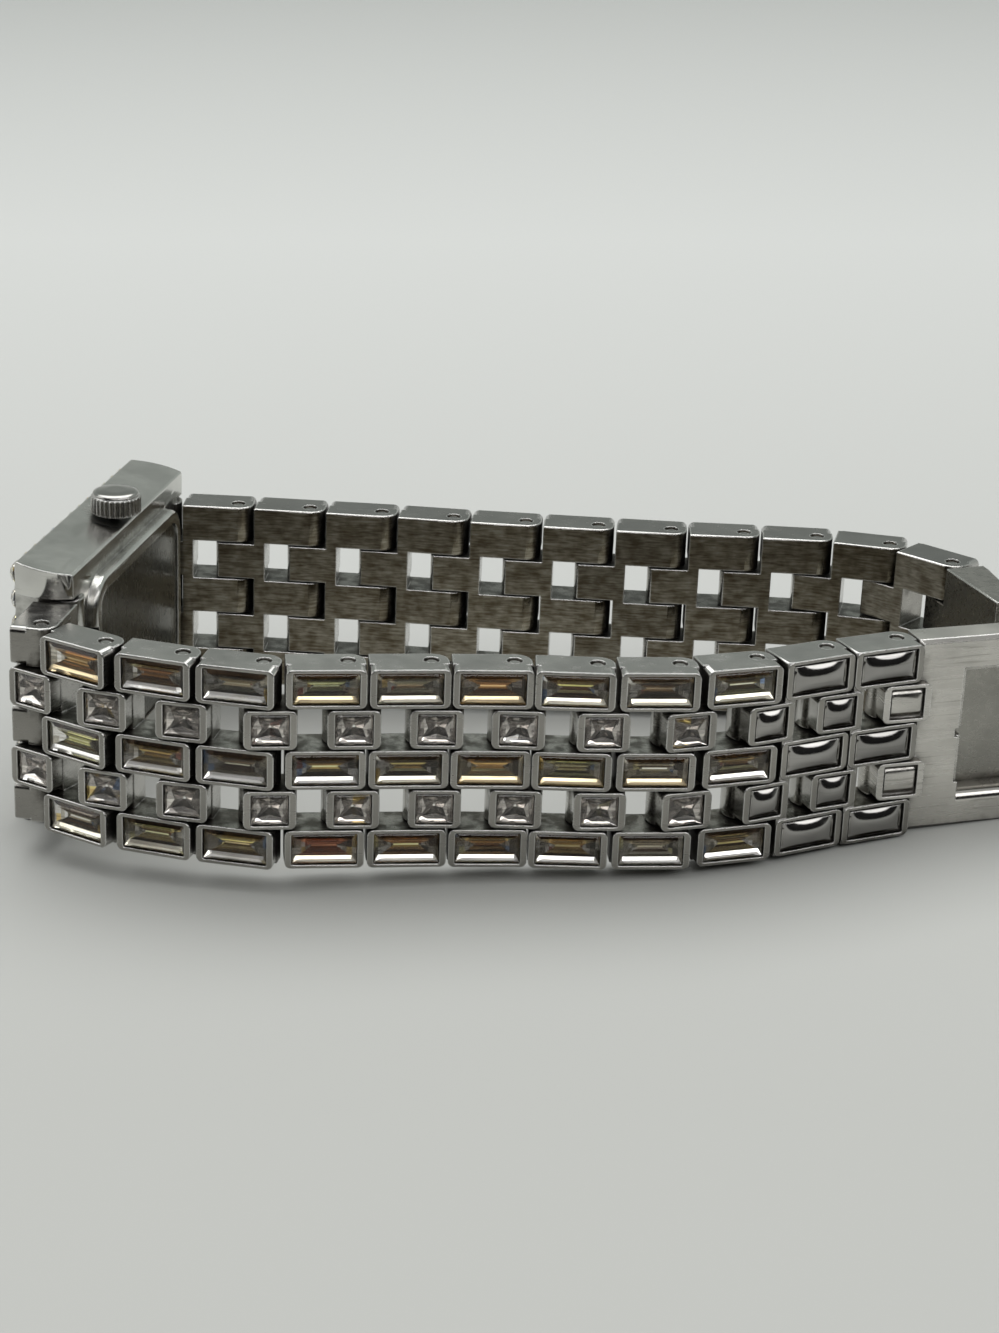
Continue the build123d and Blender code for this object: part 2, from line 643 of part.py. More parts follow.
def crown():
    """Crown with a wider fluted flange and a low domed cap."""
    body = upright_rod(0, 0, CROWN_RADIUS, 0, CROWN_HEIGHT)
    body = fillet(body.edges().group_by(Axis.Z)[-1], CROWN_EDGE_RADIUS)
    flange = upright_rod(0, 0, CROWN_FLANGE_RADIUS, 0, CROWN_FLANGE_HEIGHT)
    body += chamfer(flange.edges().group_by(Axis.Z)[-1], (CROWN_FLANGE_RADIUS - CROWN_RADIUS) / 2)
    flat_radius = CROWN_RADIUS - CROWN_EDGE_RADIUS
    ball_radius = arc_radius(2 * flat_radius, CROWN_DOME)
    ball = Pos(0, 0, CROWN_HEIGHT + CROWN_DOME - ball_radius) * Sphere(ball_radius)
    cap = upright_rod(0, 0, flat_radius, CROWN_HEIGHT - CROWN_EDGE_RADIUS, CROWN_DOME + CROWN_EDGE_RADIUS)
    body += ball & cap
    groove_height = CROWN_HEIGHT - CROWN_PLINTH - CROWN_EDGE_RADIUS
    reach = CROWN_FLANGE_RADIUS + CROWN_FLUTE_RADIUS / 4
    for i in range(CROWN_FLUTES):
        turn = 2 * math.pi * i / CROWN_FLUTES
        x, y = reach * math.cos(turn), reach * math.sin(turn)
        body -= upright_rod(x, y, CROWN_FLUTE_RADIUS, CROWN_PLINTH, groove_height)
    body -= upright_rod(0, 0, STEM_RADIUS + STEM_CLEARANCE, 0, STEM_SOCKET + STEM_CLEARANCE)
    return Pos(0, CROWN_PLACE_HEIGHT, CROWN_BASE) * body


def lug_pins():
    """The two pins that hold the first links in the case."""
    return [
        upright_rod(
            side * LUG_HALF, LUG_PIN_HEIGHT, PIN_RADIUS, BAND_MARGIN, BAND_WIDTH
        )
        for side in (-1, 1)
    ]


# Clasp pieces, drawn in the same way as a link

def clasp_fingers():
    """Two narrow fingers with polished pads, which hinge on the last link."""
    fingers = None
    for row in NARROW_ROWS:
        setting = (NARROW_START, NARROW_END, row, SQUARE_CUP_END_RIM)
        finger = narrow_finger(row) + cup(NARROW_START, NARROW_END, row, BAND_THICKNESS)
        finger -= pocket(*setting, BAND_THICKNESS - PAD_CROWN)
        finger += polished_pad(*setting)
        fingers = finger if fingers is None else fingers + finger
    return fingers


def window_block(inset, low, high):
    """The space of the cover's window, made larger or smaller by an inset."""
    top = WINDOW_TOP_MARGIN + inset
    sill = BAND_WIDTH - WINDOW_BOTTOM_MARGIN - inset
    end = WINDOW_START + WINDOW_LENGTH - inset
    return block((WINDOW_START + inset, low, top), (end, high, sill))


def clasp_cover():
    """Flat brushed cover with a window, hinged to the near end of the band."""
    base = row_base(0)
    top = row_base(ROW_COUNT - 1) + FINGER_WIDTH
    plate = block((0, 0, base), (COVER_LENGTH, COVER_THICKNESS, top))
    outer = plate.faces().sort_by(Axis.Y)[-1]
    plate = chamfer(outer.edges(), COVER_BEVEL)
    plate -= window_block(0.0, -OVERRUN, COVER_THICKNESS + OVERRUN)
    sill = BAND_WIDTH - WINDOW_BOTTOM_MARGIN
    lowest = plate.edges().filter_by(Axis.X).filter_by_position(Axis.Z, sill, sill)
    plate = fillet(lowest.sort_by(Axis.Y)[-1], WINDOW_SILL_RADIUS)
    rebate = window_block(-WINDOW_REBATE, COVER_THICKNESS - WINDOW_REBATE, COVER_THICKNESS + OVERRUN)
    below = block(
        (0, 0, sill - WINDOW_SILL_RADIUS), (COVER_LENGTH, COVER_THICKNESS + OVERRUN, BAND_WIDTH)
    )
    plate -= rebate - below
    middle = (WINDOW_TOP_MARGIN + sill) / 2
    plate -= block(
        (WINDOW_START - WINDOW_REBATE - NOTCH_DEPTH, CATCH_THICKNESS, middle - NOTCH_WIDTH / 2),
        (WINDOW_START + OVERRUN, COVER_THICKNESS + OVERRUN, middle + NOTCH_WIDTH / 2),
    )
    recess = -CATCH_MARGIN - CATCH_CLEARANCE
    plate -= window_block(recess, -OVERRUN, CATCH_THICKNESS)
    plate += clasp_fingers()
    plate -= upright_rod(-PIN_BACK, PIN_HEIGHT, PIN_HOLE_RADIUS, -OVERRUN, BAND_WIDTH + 2 * OVERRUN)
    return plate


def clasp_catch():
    """Spring plate behind the window, with two ears that hold the tongue's bar."""
    plate = window_block(-CATCH_MARGIN, 0.0, CATCH_THICKNESS)
    middle = BAND_WIDTH / 2
    for side in (-1, 1):
        inner = TONGUE_NECK_WIDTH / 2 + TONGUE_SIDE_CLEARANCE
        low, high = sorted((side * inner, side * (inner + EAR_THICKNESS)))
        ear = block(
            (CATCH_PLACE - EAR_REACH, -CATCH_HEIGHT, middle + low),
            (CATCH_PLACE + EAR_REACH, CATCH_THICKNESS, middle + high),
        )
        seat_radius = BAR_RADIUS + BAR_SEAT_CLEARANCE
        ear -= upright_rod(CATCH_PLACE, -CATCH_HEIGHT, seat_radius, 0, BAND_WIDTH)
        ear -= block(
            (CATCH_PLACE, -CATCH_HEIGHT - OVERRUN, 0),
            (CATCH_PLACE + EAR_REACH + OVERRUN, -CATCH_HEIGHT + seat_radius, BAND_WIDTH),
        )
        plate += ear
    return plate


def clasp_tongue(reach):
    """Curved end piece of the far strand; its bar lies in the catch's ears when the loop is closed."""
    bar_x = reach - PIN_BACK
    neck_x = bar_x - TONGUE_NECK_LENGTH
    with BuildSketch() as outline:
        with BuildLine():
            Line((0, 0), (0, BAND_THICKNESS))
            Line((0, BAND_THICKNESS), (SPINE_LENGTH, BAND_THICKNESS))
            ThreePointArc(
                (SPINE_LENGTH, BAND_THICKNESS),
                ((SPINE_LENGTH + bar_x) / 2, PIN_HEIGHT + BAR_KNUCKLE_RADIUS + TONGUE_SIDE_CLEARANCE * 2),
                (bar_x, PIN_HEIGHT + BAR_KNUCKLE_RADIUS),
            )
            CenterArc((bar_x, PIN_HEIGHT), BAR_KNUCKLE_RADIUS, 90, -180)
            Line((bar_x, PIN_HEIGHT - BAR_KNUCKLE_RADIUS), (SPINE_LENGTH, 0))
            Line((SPINE_LENGTH, 0), (0, 0))
        make_face()
    base = row_base(0)
    height = row_base(ROW_COUNT - 1) + FINGER_WIDTH - base
    body = bevel_ends(upright(outline.sketch, height, base), BAND_THICKNESS + OVERRUN)
    middle = BAND_WIDTH / 2
    far_x = bar_x + BAR_KNUCKLE_RADIUS + OVERRUN
    neck_low = middle - TONGUE_NECK_WIDTH / 2
    neck_high = middle + TONGUE_NECK_WIDTH / 2
    for low, high in ((-OVERRUN, neck_low), (neck_high, BAND_WIDTH + OVERRUN)):
        body -= block((neck_x, -OVERRUN, low), (far_x, BAND_THICKNESS + OVERRUN, high))
    body += clasp_fingers()
    body -= upright_rod(-PIN_BACK, PIN_HEIGHT, PIN_HOLE_RADIUS, -OVERRUN, BAND_WIDTH + 2 * OVERRUN)
    body -= upright_rod(bar_x, PIN_HEIGHT, BAR_RADIUS + BAR_CLEARANCE, 0, BAND_WIDTH)
    bar_half = TONGUE_NECK_WIDTH / 2 + TONGUE_SIDE_CLEARANCE + EAR_THICKNESS
    bar = upright_rod(bar_x, PIN_HEIGHT, BAR_RADIUS, middle - bar_half, 2 * bar_half)
    return [body, bar]


# Layout of the band

def ahead(point, heading, distance):
    """A plan point moved along a heading."""
    angle = math.radians(heading)
    return point[0] + distance * math.cos(angle), point[1] + distance * math.sin(angle)


def strand_frame(pin, heading, near):
    """Placement of a link whose back hinge pin stands at a plan point."""
    x, y = pin
    if near:
        placed = Pos(x, y, BAND_MARGIN + BAND_WIDTH) * Rot(0, 0, heading) * Rot(180, 0, 0)
    else:
        placed = Pos(x, y, BAND_MARGIN) * Rot(0, 0, heading)
    return placed * Pos(PIN_BACK, -PIN_HEIGHT, 0)


def strand(bends, near):
    """Back pin and heading of every link in a strand, then those of the clasp piece."""
    side = -1 if near else 1
    local = ahead((0, 0), CASE_HEADING, side * LUG_HALF)
    pin = ahead(local, CASE_HEADING + 90, LUG_PIN_HEIGHT)
    heading = CASE_HEADING + (180 if near else 0)
    places = []
    for bend in bends:
        heading += bend if near else -bend
        places.append((pin, heading))
        pin = ahead(pin, heading, LINK_PITCH)
    return places, pin, heading


case_frame = Rot(0, 0, CASE_HEADING)
near_places, near_end, near_heading = strand(NEAR_BENDS, True)
far_places, far_end, far_heading = strand(FAR_BENDS, False)
cover_heading = near_heading + COVER_BEND

# The catch's seat, in plan, fixes where the tongue has to reach
catch_along = ahead(near_end, cover_heading, PIN_BACK + CATCH_PLACE)
catch_seat = ahead(catch_along, cover_heading + 90, PIN_HEIGHT + CATCH_HEIGHT)
tongue_reach = math.dist(far_end, catch_seat)
tongue_heading = math.degrees(math.atan2(catch_seat[1] - far_end[1], catch_seat[0] - far_end[0]))
cover_frame = strand_frame(near_end, cover_heading, True)
tongue_frame = strand_frame(far_end, tongue_heading, False)

# Every node with its solids, still in the frame of the case's centre
crystal_casting = link_casting(False)
plain_casting = link_casting(True)
pin_solid = link_pin()
stone_solids = link_stones()

nodes = {
    "case": [case_frame * case_body()],
    "bezel_stones": [case_frame * stone for stone in bezel_stones()],
    "watch_glass": [case_frame * glass()],
    "dial": [case_frame * dial()],
    "dial_markers": [case_frame * marker for marker in dial_markers()],
    "hour_hand": [
        case_frame * hand(0, HOUR_HAND_LENGTH, HOUR_HAND_WIDTH, HOUR_HAND_ANGLE, HAND_HUB_RADIUS)
    ],
    "minute_hand": [
        case_frame * hand(1, MINUTE_HAND_LENGTH, MINUTE_HAND_WIDTH, MINUTE_HAND_ANGLE, HAND_HUB_RADIUS)
    ],
    "second_hand": [
        case_frame * hand(2, SECOND_HAND_LENGTH, SECOND_HAND_WIDTH, SECOND_HAND_ANGLE, HAND_HUB_RADIUS)
    ],
    "movement": [case_frame * movement()],
    "battery": [case_frame * battery()],
    "stem": [case_frame * stem()],
    "crown": [case_frame * crown()],
    "back_plate": [case_frame * back_plate()],
    "back_gasket": [case_frame * back_gasket()],
    "lug_pins": [case_frame * pin for pin in lug_pins()],
    "clasp_cover": [cover_frame * clasp_cover()],
    "clasp_catch": [cover_frame * clasp_catch()],
    "clasp_tongue": [tongue_frame * piece for piece in clasp_tongue(tongue_reach)],
}
for name, places, crystal_links in (
    ("near", near_places, NEAR_CRYSTAL_LINKS),
    ("far", far_places, FAR_CRYSTAL_LINKS),
):
    for number, (pin, heading) in enumerate(places, 1):
        frame = strand_frame(pin, heading, name == "near")
        casting = crystal_casting if number <= crystal_links else plain_casting
        nodes[f"{name}_link_{number:02d}"] = [frame * casting, frame * pin_solid]
        if number <= crystal_links:
            nodes[f"{name}_stones_{number:02d}"] = [frame * stone for stone in stone_solids]

# The origin moves to the middle of the underside of the whole watch
everything = Compound(children=[s for pieces in nodes.values() for p in pieces for s in p.solids()])
box = everything.bounding_box()
shift_x = -(box.min.X + box.max.X) / 2
shift_y = -(box.min.Y + box.max.Y) / 2
to_origin = Pos(shift_x, shift_y, -box.min.Z)

os.makedirs("parts", exist_ok=True)
for node, pieces in nodes.items():
    export_step(group([to_origin * piece for piece in pieces]), f"parts/{node}.step")

# Places of the joints, for reference
print(f"shift {shift_x:.5f} {shift_y:.5f} {-box.min.Z:.5f}")
for name, places, end in (("near", near_places, near_end), ("far", far_places, far_end)):
    for number, (pin, heading) in enumerate(places, 1):
        print(f"{name} {number} {pin[0] + shift_x:.5f} {pin[1] + shift_y:.5f} {heading:.3f}")
    print(f"{name} end {end[0] + shift_x:.5f} {end[1] + shift_y:.5f}")
print(f"cover heading {cover_heading:.3f}, tongue heading {tongue_heading:.3f}, reach {tongue_reach:.3f}")
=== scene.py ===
# %% [markdown]
# # A crystal bracelet watch
# This file dresses a mechanical model of a bracelet watch for its portrait. The metal parts come in
# at their true size and place, and stay as they are. What is added here is everything the eye reads
# as quality: satin and polished steel, cut crystals that flash, a dial, a soft studio.
#
# Read it from top to bottom. Each explanation says what a piece is on the real watch, how it could be
# made, and why one way was picked. All lengths are written in millimetres and turned into metres by MM.

# %% Load the watch
import json
import math
import random
from types import SimpleNamespace

import bmesh
import bpy
from mathutils import Matrix, Vector


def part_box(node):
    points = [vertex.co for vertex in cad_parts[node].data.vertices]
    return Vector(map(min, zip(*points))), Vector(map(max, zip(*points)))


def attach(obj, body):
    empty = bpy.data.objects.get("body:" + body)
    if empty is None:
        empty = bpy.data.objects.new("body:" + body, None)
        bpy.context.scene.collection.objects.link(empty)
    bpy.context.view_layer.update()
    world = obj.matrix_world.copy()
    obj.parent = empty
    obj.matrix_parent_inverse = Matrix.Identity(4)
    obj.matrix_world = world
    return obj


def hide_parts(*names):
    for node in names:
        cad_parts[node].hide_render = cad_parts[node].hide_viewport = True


MM = 0.001
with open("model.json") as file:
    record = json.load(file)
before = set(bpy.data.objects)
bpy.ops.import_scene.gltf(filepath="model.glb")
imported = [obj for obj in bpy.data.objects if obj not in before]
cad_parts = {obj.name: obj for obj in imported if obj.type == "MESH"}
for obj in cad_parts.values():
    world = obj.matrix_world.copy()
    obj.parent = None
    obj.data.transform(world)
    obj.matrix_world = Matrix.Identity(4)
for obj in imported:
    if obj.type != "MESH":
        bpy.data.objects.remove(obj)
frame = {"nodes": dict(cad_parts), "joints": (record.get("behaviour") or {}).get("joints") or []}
nodes = frame["nodes"]
hinges = {joint["child"]: joint for joint in frame["joints"]}
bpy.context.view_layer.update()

# %% [markdown]
# ## The camera
# The photograph was taken with a long lens from a hand's breadth above the band, looking a little down
# and slightly tipped. A camera fitted to the corners of the links gave its place, so nothing here is
# set by eye. Blender cameras look down their own -Z, so a level camera is first stood up by ninety
# degrees, then tipped by the pitch, and last rolled about the line of sight.

# %% Camera at the photograph's angle
IMAGE_HEIGHT = 1333
FOCAL_PIXELS = 2784
SENSOR = 36.0
CAMERA_FROM_CASE = Vector((30.55, -215.05, 94.5))
CAMERA_PITCH = 21.53
CAMERA_ROLL = 2.27
HANDS_ABOVE_BACK = 3.6
CASE_WIDTH = 21.8
CLIP_NEAR = 10
CLIP_FAR = 20000


def case_axis():
    """The direction in which the dial faces, from the hands' own hinge."""
    return Vector(hinges["minute_hand"]["axis"]).normalized()


def case_centre():
    """The middle of the case's back, at the height of its lower flank."""
    hands = Vector(hinges["minute_hand"]["pos_m"])
    return hands - case_axis() * HANDS_ABOVE_BACK * MM - Vector((0, 0, CASE_WIDTH / 2 * MM))


def add_camera():
    """A camera where the photographer stood."""
    camera = bpy.data.objects.new("camera", bpy.data.cameras.new("camera"))
    camera.data.sensor_width = SENSOR
    camera.data.lens = FOCAL_PIXELS * SENSOR / IMAGE_HEIGHT
    camera.data.clip_start = CLIP_NEAR * MM
    camera.data.clip_end = CLIP_FAR * MM
    tilt = Matrix.Rotation(math.radians(90 - CAMERA_PITCH), 4, "X")
    roll = Matrix.Rotation(math.radians(CAMERA_ROLL), 4, "Z")
    place = Matrix.Translation(case_centre() + CAMERA_FROM_CASE * MM)
    camera.matrix_world = place @ tilt @ roll
    bpy.context.scene.collection.objects.link(camera)
    bpy.context.scene.camera = camera
    return camera


camera = add_camera()
bpy.context.scene.view_settings.view_transform = "Standard"
print("camera at", [round(value / MM, 1) for value in camera.location])

# %% [markdown]
# ## The studio
# Polished metal has no colour of its own: it shows the room. So the room is designed first. A pale
# matte floor fills the lower half, a big soft lamp hangs above and behind, and a long low one hangs
# over the photographer's side. Between that lamp and the floor the room is dim, and a black card lies
# in front of the watch. Jewellers use such cards: they draw the dark lines along rims and facets.
#
# The world is a sky made by a colour ramp over the height of the ray. Rays that reach it straight from
# the camera, or by way of a mirror or a glass, see a pale backdrop, which adds no light to the scene.

# %% Small helpers for materials
def new_tree(owner):
    """An empty node tree for a material or the world."""
    owner.use_nodes = True
    owner.node_tree.nodes.clear()
    return owner.node_tree


def add(tree, kind, inputs=None, **settings):
    """One shader node, with its settings, and its inputs given as values or as other outputs."""
    made = tree.nodes.new("ShaderNode" + kind)
    for name, value in settings.items():
        setattr(made, name, value)
    for name, value in (inputs or {}).items():
        socket = made.inputs[name]
        if isinstance(value, bpy.types.NodeSocket):
            tree.links.new(value, socket)
        else:
            socket.default_value = value
    return made


def ramp(tree, factor, stops):
    """A colour ramp with (place, colour or grey) stops."""
    made = add(tree, "ValToRGB", {"Fac": factor})
    band = made.color_ramp
    while len(band.elements) < len(stops):
        band.elements.new(0.5)
    for element, (place, value) in zip(band.elements, stops):
        element.position = place
        element.color = (value, value, value, 1) if isinstance(value, float) else (*value, 1)
    return made.outputs["Color"]


# %% The world and its backdrop
BACKDROP_LOW = (0.60, 0.62, 0.59)
BACKDROP_HIGH = (0.36, 0.39, 0.37)
BACKDROP_TOP = 0.35
PALE_ROOM = [(0.0, 0.10), (0.25, 0.26), (0.6, 0.5), (1.0, 0.75)]
DIM_ROOM = [(0.0, 0.02), (0.45, 0.03), (0.7, 0.25), (1.0, 0.75)]
ROOM_TURNS = (-0.35, 0.25)


def mix_colour(tree, mask, first, second):
    """A colour that goes from one to another with a mask."""
    return add(tree, "Mix", {"Factor": mask, 6: first, 7: second}, data_type="RGBA").outputs[2]


def either(tree, first, second):
    """The larger of two masks."""
    return add(tree, "Math", {0: first, 1: second}, operation="MAXIMUM").outputs[0]


def add_world():
    """A dim room behind the camera, a pale one in front of it, and a pale backdrop."""
    world = bpy.data.worlds.new("studio")
    bpy.context.scene.world = world
    tree = new_tree(world)
    direction = add(tree, "TexCoord").outputs["Generated"]
    split = add(tree, "SeparateXYZ", {0: direction}).outputs
    pale = ramp(tree, split["Z"], PALE_ROOM)
    dim = ramp(tree, split["Z"], DIM_ROOM)
    backdrop = ramp(tree, split["Z"], [(0.0, BACKDROP_LOW), (BACKDROP_TOP, BACKDROP_HIGH)])
    ray = add(tree, "LightPath").outputs
    mirrored = either(tree, ray["Is Glossy Ray"], ray["Is Transmission Ray"])
    far_side = mix_colour(tree, mirrored, pale, backdrop)
    side = add(tree, "MapRange", {"Value": split["Y"], 1: ROOM_TURNS[0], 2: ROOM_TURNS[1]}).outputs[0]
    room = mix_colour(tree, side, dim, far_side)
    seen = mix_colour(tree, ray["Is Camera Ray"], room, backdrop)
    shader = add(tree, "Background", {"Color": seen, "Strength": 1.0}).outputs[0]
    add(tree, "OutputWorld", {"Surface": shader})


add_world()

# %% The floor
FLOOR_SIZE = 6000
# The floor's colour from near to far is a painted fall of light: darker near, lightest in the middle,
# darker far.
FLOOR_NEAR = (0.43, 0.438, 0.415)
FLOOR_MIDDLE = (0.55, 0.565, 0.545)
FLOOR_FAR = (0.35, 0.37, 0.35)
FLOOR_PAINTED_LIGHT = [(0.15, FLOOR_NEAR), (0.4, FLOOR_MIDDLE), (1.0, FLOOR_FAR)]
FLOOR_SPAN = (-200, 800)
FLOOR_ROUGHNESS = 0.75
FLOOR_TILT = 2.2
FLOOR_DROP = 0.05


def add_floor():
    """A pale matte table top, tipped so that the case and the clasp both touch it."""
    mesh = bpy.data.meshes.new("table_top")
    half = FLOOR_SIZE / 2 * MM
    corners = [(-half, -half, 0), (half, -half, 0), (half, half, 0), (-half, half, 0)]
    mesh.from_pydata(corners, [], [(0, 1, 2, 3)])
    table = bpy.data.objects.new("table_top", mesh)
    bpy.context.scene.collection.objects.link(table)
    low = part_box("case")[0]
    hinge = Matrix.Translation((low.x, 0, -FLOOR_DROP * MM))
    table.matrix_world = hinge @ Matrix.Rotation(math.radians(-FLOOR_TILT), 4, "Y")
    matte = bpy.data.materials.new("table_matte")
    tree = new_tree(matte)
    depth = add(tree, "SeparateXYZ", {0: add(tree, "TexCoord").outputs["Object"]}).outputs["Y"]
    first, last = (value * MM for value in FLOOR_SPAN)
    share = add(tree, "MapRange", {"Value": depth, 1: first, 2: last}).outputs[0]
    # Painted light: the floor's colour is lighter in the middle and darker near and far.
    shade = ramp(tree, share, FLOOR_PAINTED_LIGHT)
    shader = add(tree, "BsdfPrincipled", {"Base Color": shade, "Roughness": FLOOR_ROUGHNESS})
    add(tree, "OutputMaterial", {"Surface": shader.outputs[0]})
    mesh.materials.append(matte)


add_floor()

# %% The black card, which only reflections show
CARD_X = (-260, 260)
CARD_Y = -128
CARD_Z = (-6, 26)
FELT_SHADES = [(0.3, 0.012), (0.7, 0.022)]
FELT_CLOUDS = 300.0
FELT_ROUGHNESS = 0.9


def add_card():
    """An upright dark card between the watch and the camera."""
    mesh = bpy.data.meshes.new("black_card")
    (left, right), (low, high) = CARD_X, CARD_Z
    corners = [(left, low), (right, low), (right, high), (left, high)]
    mesh.from_pydata([Vector((x, CARD_Y, z)) * MM for x, z in corners], [], [(0, 1, 2, 3)])
    card = bpy.data.objects.new("black_card", mesh)
    bpy.context.scene.collection.objects.link(card)
    card.visible_camera = False
    card.visible_shadow = False
    card.visible_diffuse = False
    felt = bpy.data.materials.new("black_felt")
    tree = new_tree(felt)
    cloud = add(tree, "TexNoise", {"Scale": FELT_CLOUDS}).outputs["Fac"]
    shade = ramp(tree, cloud, FELT_SHADES)
    shader = add(tree, "BsdfPrincipled", {"Base Color": shade, "Roughness": FELT_ROUGHNESS})
    add(tree, "OutputMaterial", {"Surface": shader.outputs[0]})
    mesh.materials.append(felt)


add_card()

# %% Lamps
LAMP_AIM = (0, 0, 10)
LAMPS = {
    "ceiling_softbox": ((-100, 250, 700), (900, 600), 4.4),
    "window_left": ((-700, -100, 350), (500, 500), 1.1),
    "front_softbox": ((300, -460, 500), (1250, 240), 2.5),
}


def add_lamp(name, place, size, power):
    """A soft square lamp that faces the watch. Its power is in watts."""
    lamp = bpy.data.objects.new(name, bpy.data.lights.new(name, "AREA"))
    lamp.data.shape = "RECTANGLE"
    lamp.data.size, lamp.data.size_y = (side * MM for side in size)
    lamp.data.energy = power
    lamp.location = Vector(place) * MM
    sight = Vector(LAMP_AIM) - Vector(place)
    lamp.rotation_euler = sight.to_track_quat("-Z", "Y").to_euler()
    bpy.context.scene.collection.objects.link(lamp)


for name, (place, size, power) in LAMPS.items():
    add_lamp(name, place, size, power)
print(len(LAMPS), "lamps")

# %% [markdown]
# ## Steel
# The watch is one metal in several finishes: satin flanks with short scratches, brushed inner faces
# that have yellowed with wear, polished rims and pads, and dark corners. All of them are one recipe
# with other numbers. Brushing is noise that is stretched along one direction. It drives roughness and a
# faint bump, so that it shows in the reflections, as on real metal, and hardly in the colour. Light and
# shade are painted into the colour too: level faces and the outward faces of the links are darker, a
# painted shade; corners and the faces between the lugs are darkened by dirt and painted shade; and
# edges are lighter, partly rubbed wear and partly a painted highlight. The dark of the corners comes
# from Ambient Occlusion, which knows where a corner is.
#
# The recipe is laid down in layers, as wear is. Each layer has a mask that says where it lies, and
# changes the colour or the roughness that the layers before it have left.

# %% Masks that a steel is built from
UP = (0, 0, 1)


def alike(tree, first, second):
    """The cosine of the angle between two directions."""
    product = add(tree, "VectorMath", {0: first, 1: second}, operation="DOT_PRODUCT")
    return product.outputs["Value"]


def facing(tree, normal, direction, cosines, both=False):
    """How well a surface faces a direction: 0 below the first cosine, 1 above the second."""
    cosine = alike(tree, normal, direction)
    if both:
        cosine = add(tree, "Math", {0: cosine}, operation="ABSOLUTE").outputs[0]
    low, high = cosines
    return add(tree, "MapRange", {"Value": cosine, 1: low, 2: high},
               interpolation_type="SMOOTHSTEP").outputs[0]


def where_both(tree, first, second):
    """A mask that lies where two masks meet."""
    return add(tree, "Math", {0: first, 1: second}, operation="MULTIPLY").outputs[0]


def blend(tree, mask, first, second):
    """A number that goes from one value to another with a mask."""
    return add(tree, "Mix", {"Factor": mask, 2: first, 3: second}).outputs[0]


def noise(tree, place, scale, detail=3.0):
    """Noise with a scale for each axis, in patches per metre."""
    scale = scale if isinstance(scale, tuple) else (scale, scale, scale)
    stretched = add(tree, "Mapping", {"Vector": place, "Scale": scale}).outputs[0]
    return add(tree, "TexNoise", {"Vector": stretched, "Scale": 1.0, "Detail": detail}).outputs["Fac"]


def remap(tree, value, low, high, first, second):
    """A value moved from one range to another."""
    return add(tree, "MapRange", {"Value": value, 1: low, 2: high, 3: first, 4: second}).outputs[0]


def times(tree, first, second):
    """Two colours, or a colour and a number, multiplied."""
    return add(tree, "VectorMath", {0: first, 1: second}, operation="MULTIPLY").outputs[0]


# %% Bare brushed metal
BRUSH_LINES = 3200
CLOUDS = 210
PATCHES = 900
SHADED_ROUND = 0.16
LEVEL_FACES = (0.9, 0.98)
# Most of a noise's values lie in this range.
MOST = (0.3, 0.7)
CLOUD_STOPS = (0.36, 0.64)
CLOUD_SHARE = 0.8
OWN_SHARES = (0.92, 1.06)


def bare_steel(tree, tone, roughness, brush, grain):
    """Clean brushed metal, with the patterns and directions that the layers on it need."""
    place = add(tree, "TexCoord").outputs["Object"]
    made = SimpleNamespace(tree=tree, place=place)
    made.rounded = add(tree, "Bevel", {"Radius": SHADED_ROUND * MM}, samples=4).outputs[0]
    made.flat = add(tree, "NewGeometry").outputs["Normal"]
    made.lines = noise(tree, place, tuple(BRUSH_LINES * value for value in brush), 4.0)
    made.patches = noise(tree, place, PATCHES)
    made.own = add(tree, "ObjectInfo").outputs["Random"]
    made.height = add(tree, "SeparateXYZ", {0: place}).outputs["Z"]
    made.level = facing(tree, made.flat, UP, LEVEL_FACES, both=True)
    made.rough = remap(tree, made.lines, *MOST, roughness - grain, roughness + grain)
    dark = tuple(value * CLOUD_SHARE for value in tone)
    cloudy = ramp(tree, noise(tree, place, CLOUDS), list(zip(CLOUD_STOPS, (dark, tone))))
    made.metal = times(tree, cloudy, remap(tree, made.own, 0.0, 1.0, *OWN_SHARES))
    return made


def darken(made, mask, share):
    """Keeps only a share of the colour under a mask."""
    darker = times(made.tree, made.metal, share)
    made.metal = mix_colour(made.tree, mask, made.metal, darker)


def roughen(made, mask, roughness):
    """Sets the roughness under a mask."""
    made.rough = blend(made.tree, mask, made.rough, roughness)


# %% Layers of wear and painted highlight
LEDGE_SPAN = (18.6, 18.0)
LEDGE_SPOTS = [(0.4, (0.3, 0.3, 0.27)), (0.6, (0.95, 0.95, 0.92))]
SIDE_FACES = (0.55, 0.8)
WORN_STREAKS = [(0.36, (0.15, 0.126, 0.09)), (0.66, (0.31, 0.283, 0.225))]
WORN_PATCHES = [(0.36, (0.74, 0.71, 0.66)), (0.62, (1.24, 1.27, 1.31))]
WORN_SHARES = (0.8, 1.15)
WORN_ROUGHER = 0.14
# The colour of edges: partly rubbed wear, partly a painted highlight.
EDGE_WEAR_AND_HIGHLIGHT = (0.8, 0.79, 0.77, 1)
EDGE_ROUGHNESS = 0.13
EDGE_TURNS = (0.995, 0.93)


def spot_ledges(made):
    """Dark spots on the ledges inside the band, which lie lower than its top faces."""
    high, low = (value * MM for value in LEDGE_SPAN)
    below = remap(made.tree, made.height, high, low, 0.0, 1.0)
    spots = ramp(made.tree, made.patches, LEDGE_SPOTS)
    darken(made, where_both(made.tree, below, made.level), spots)


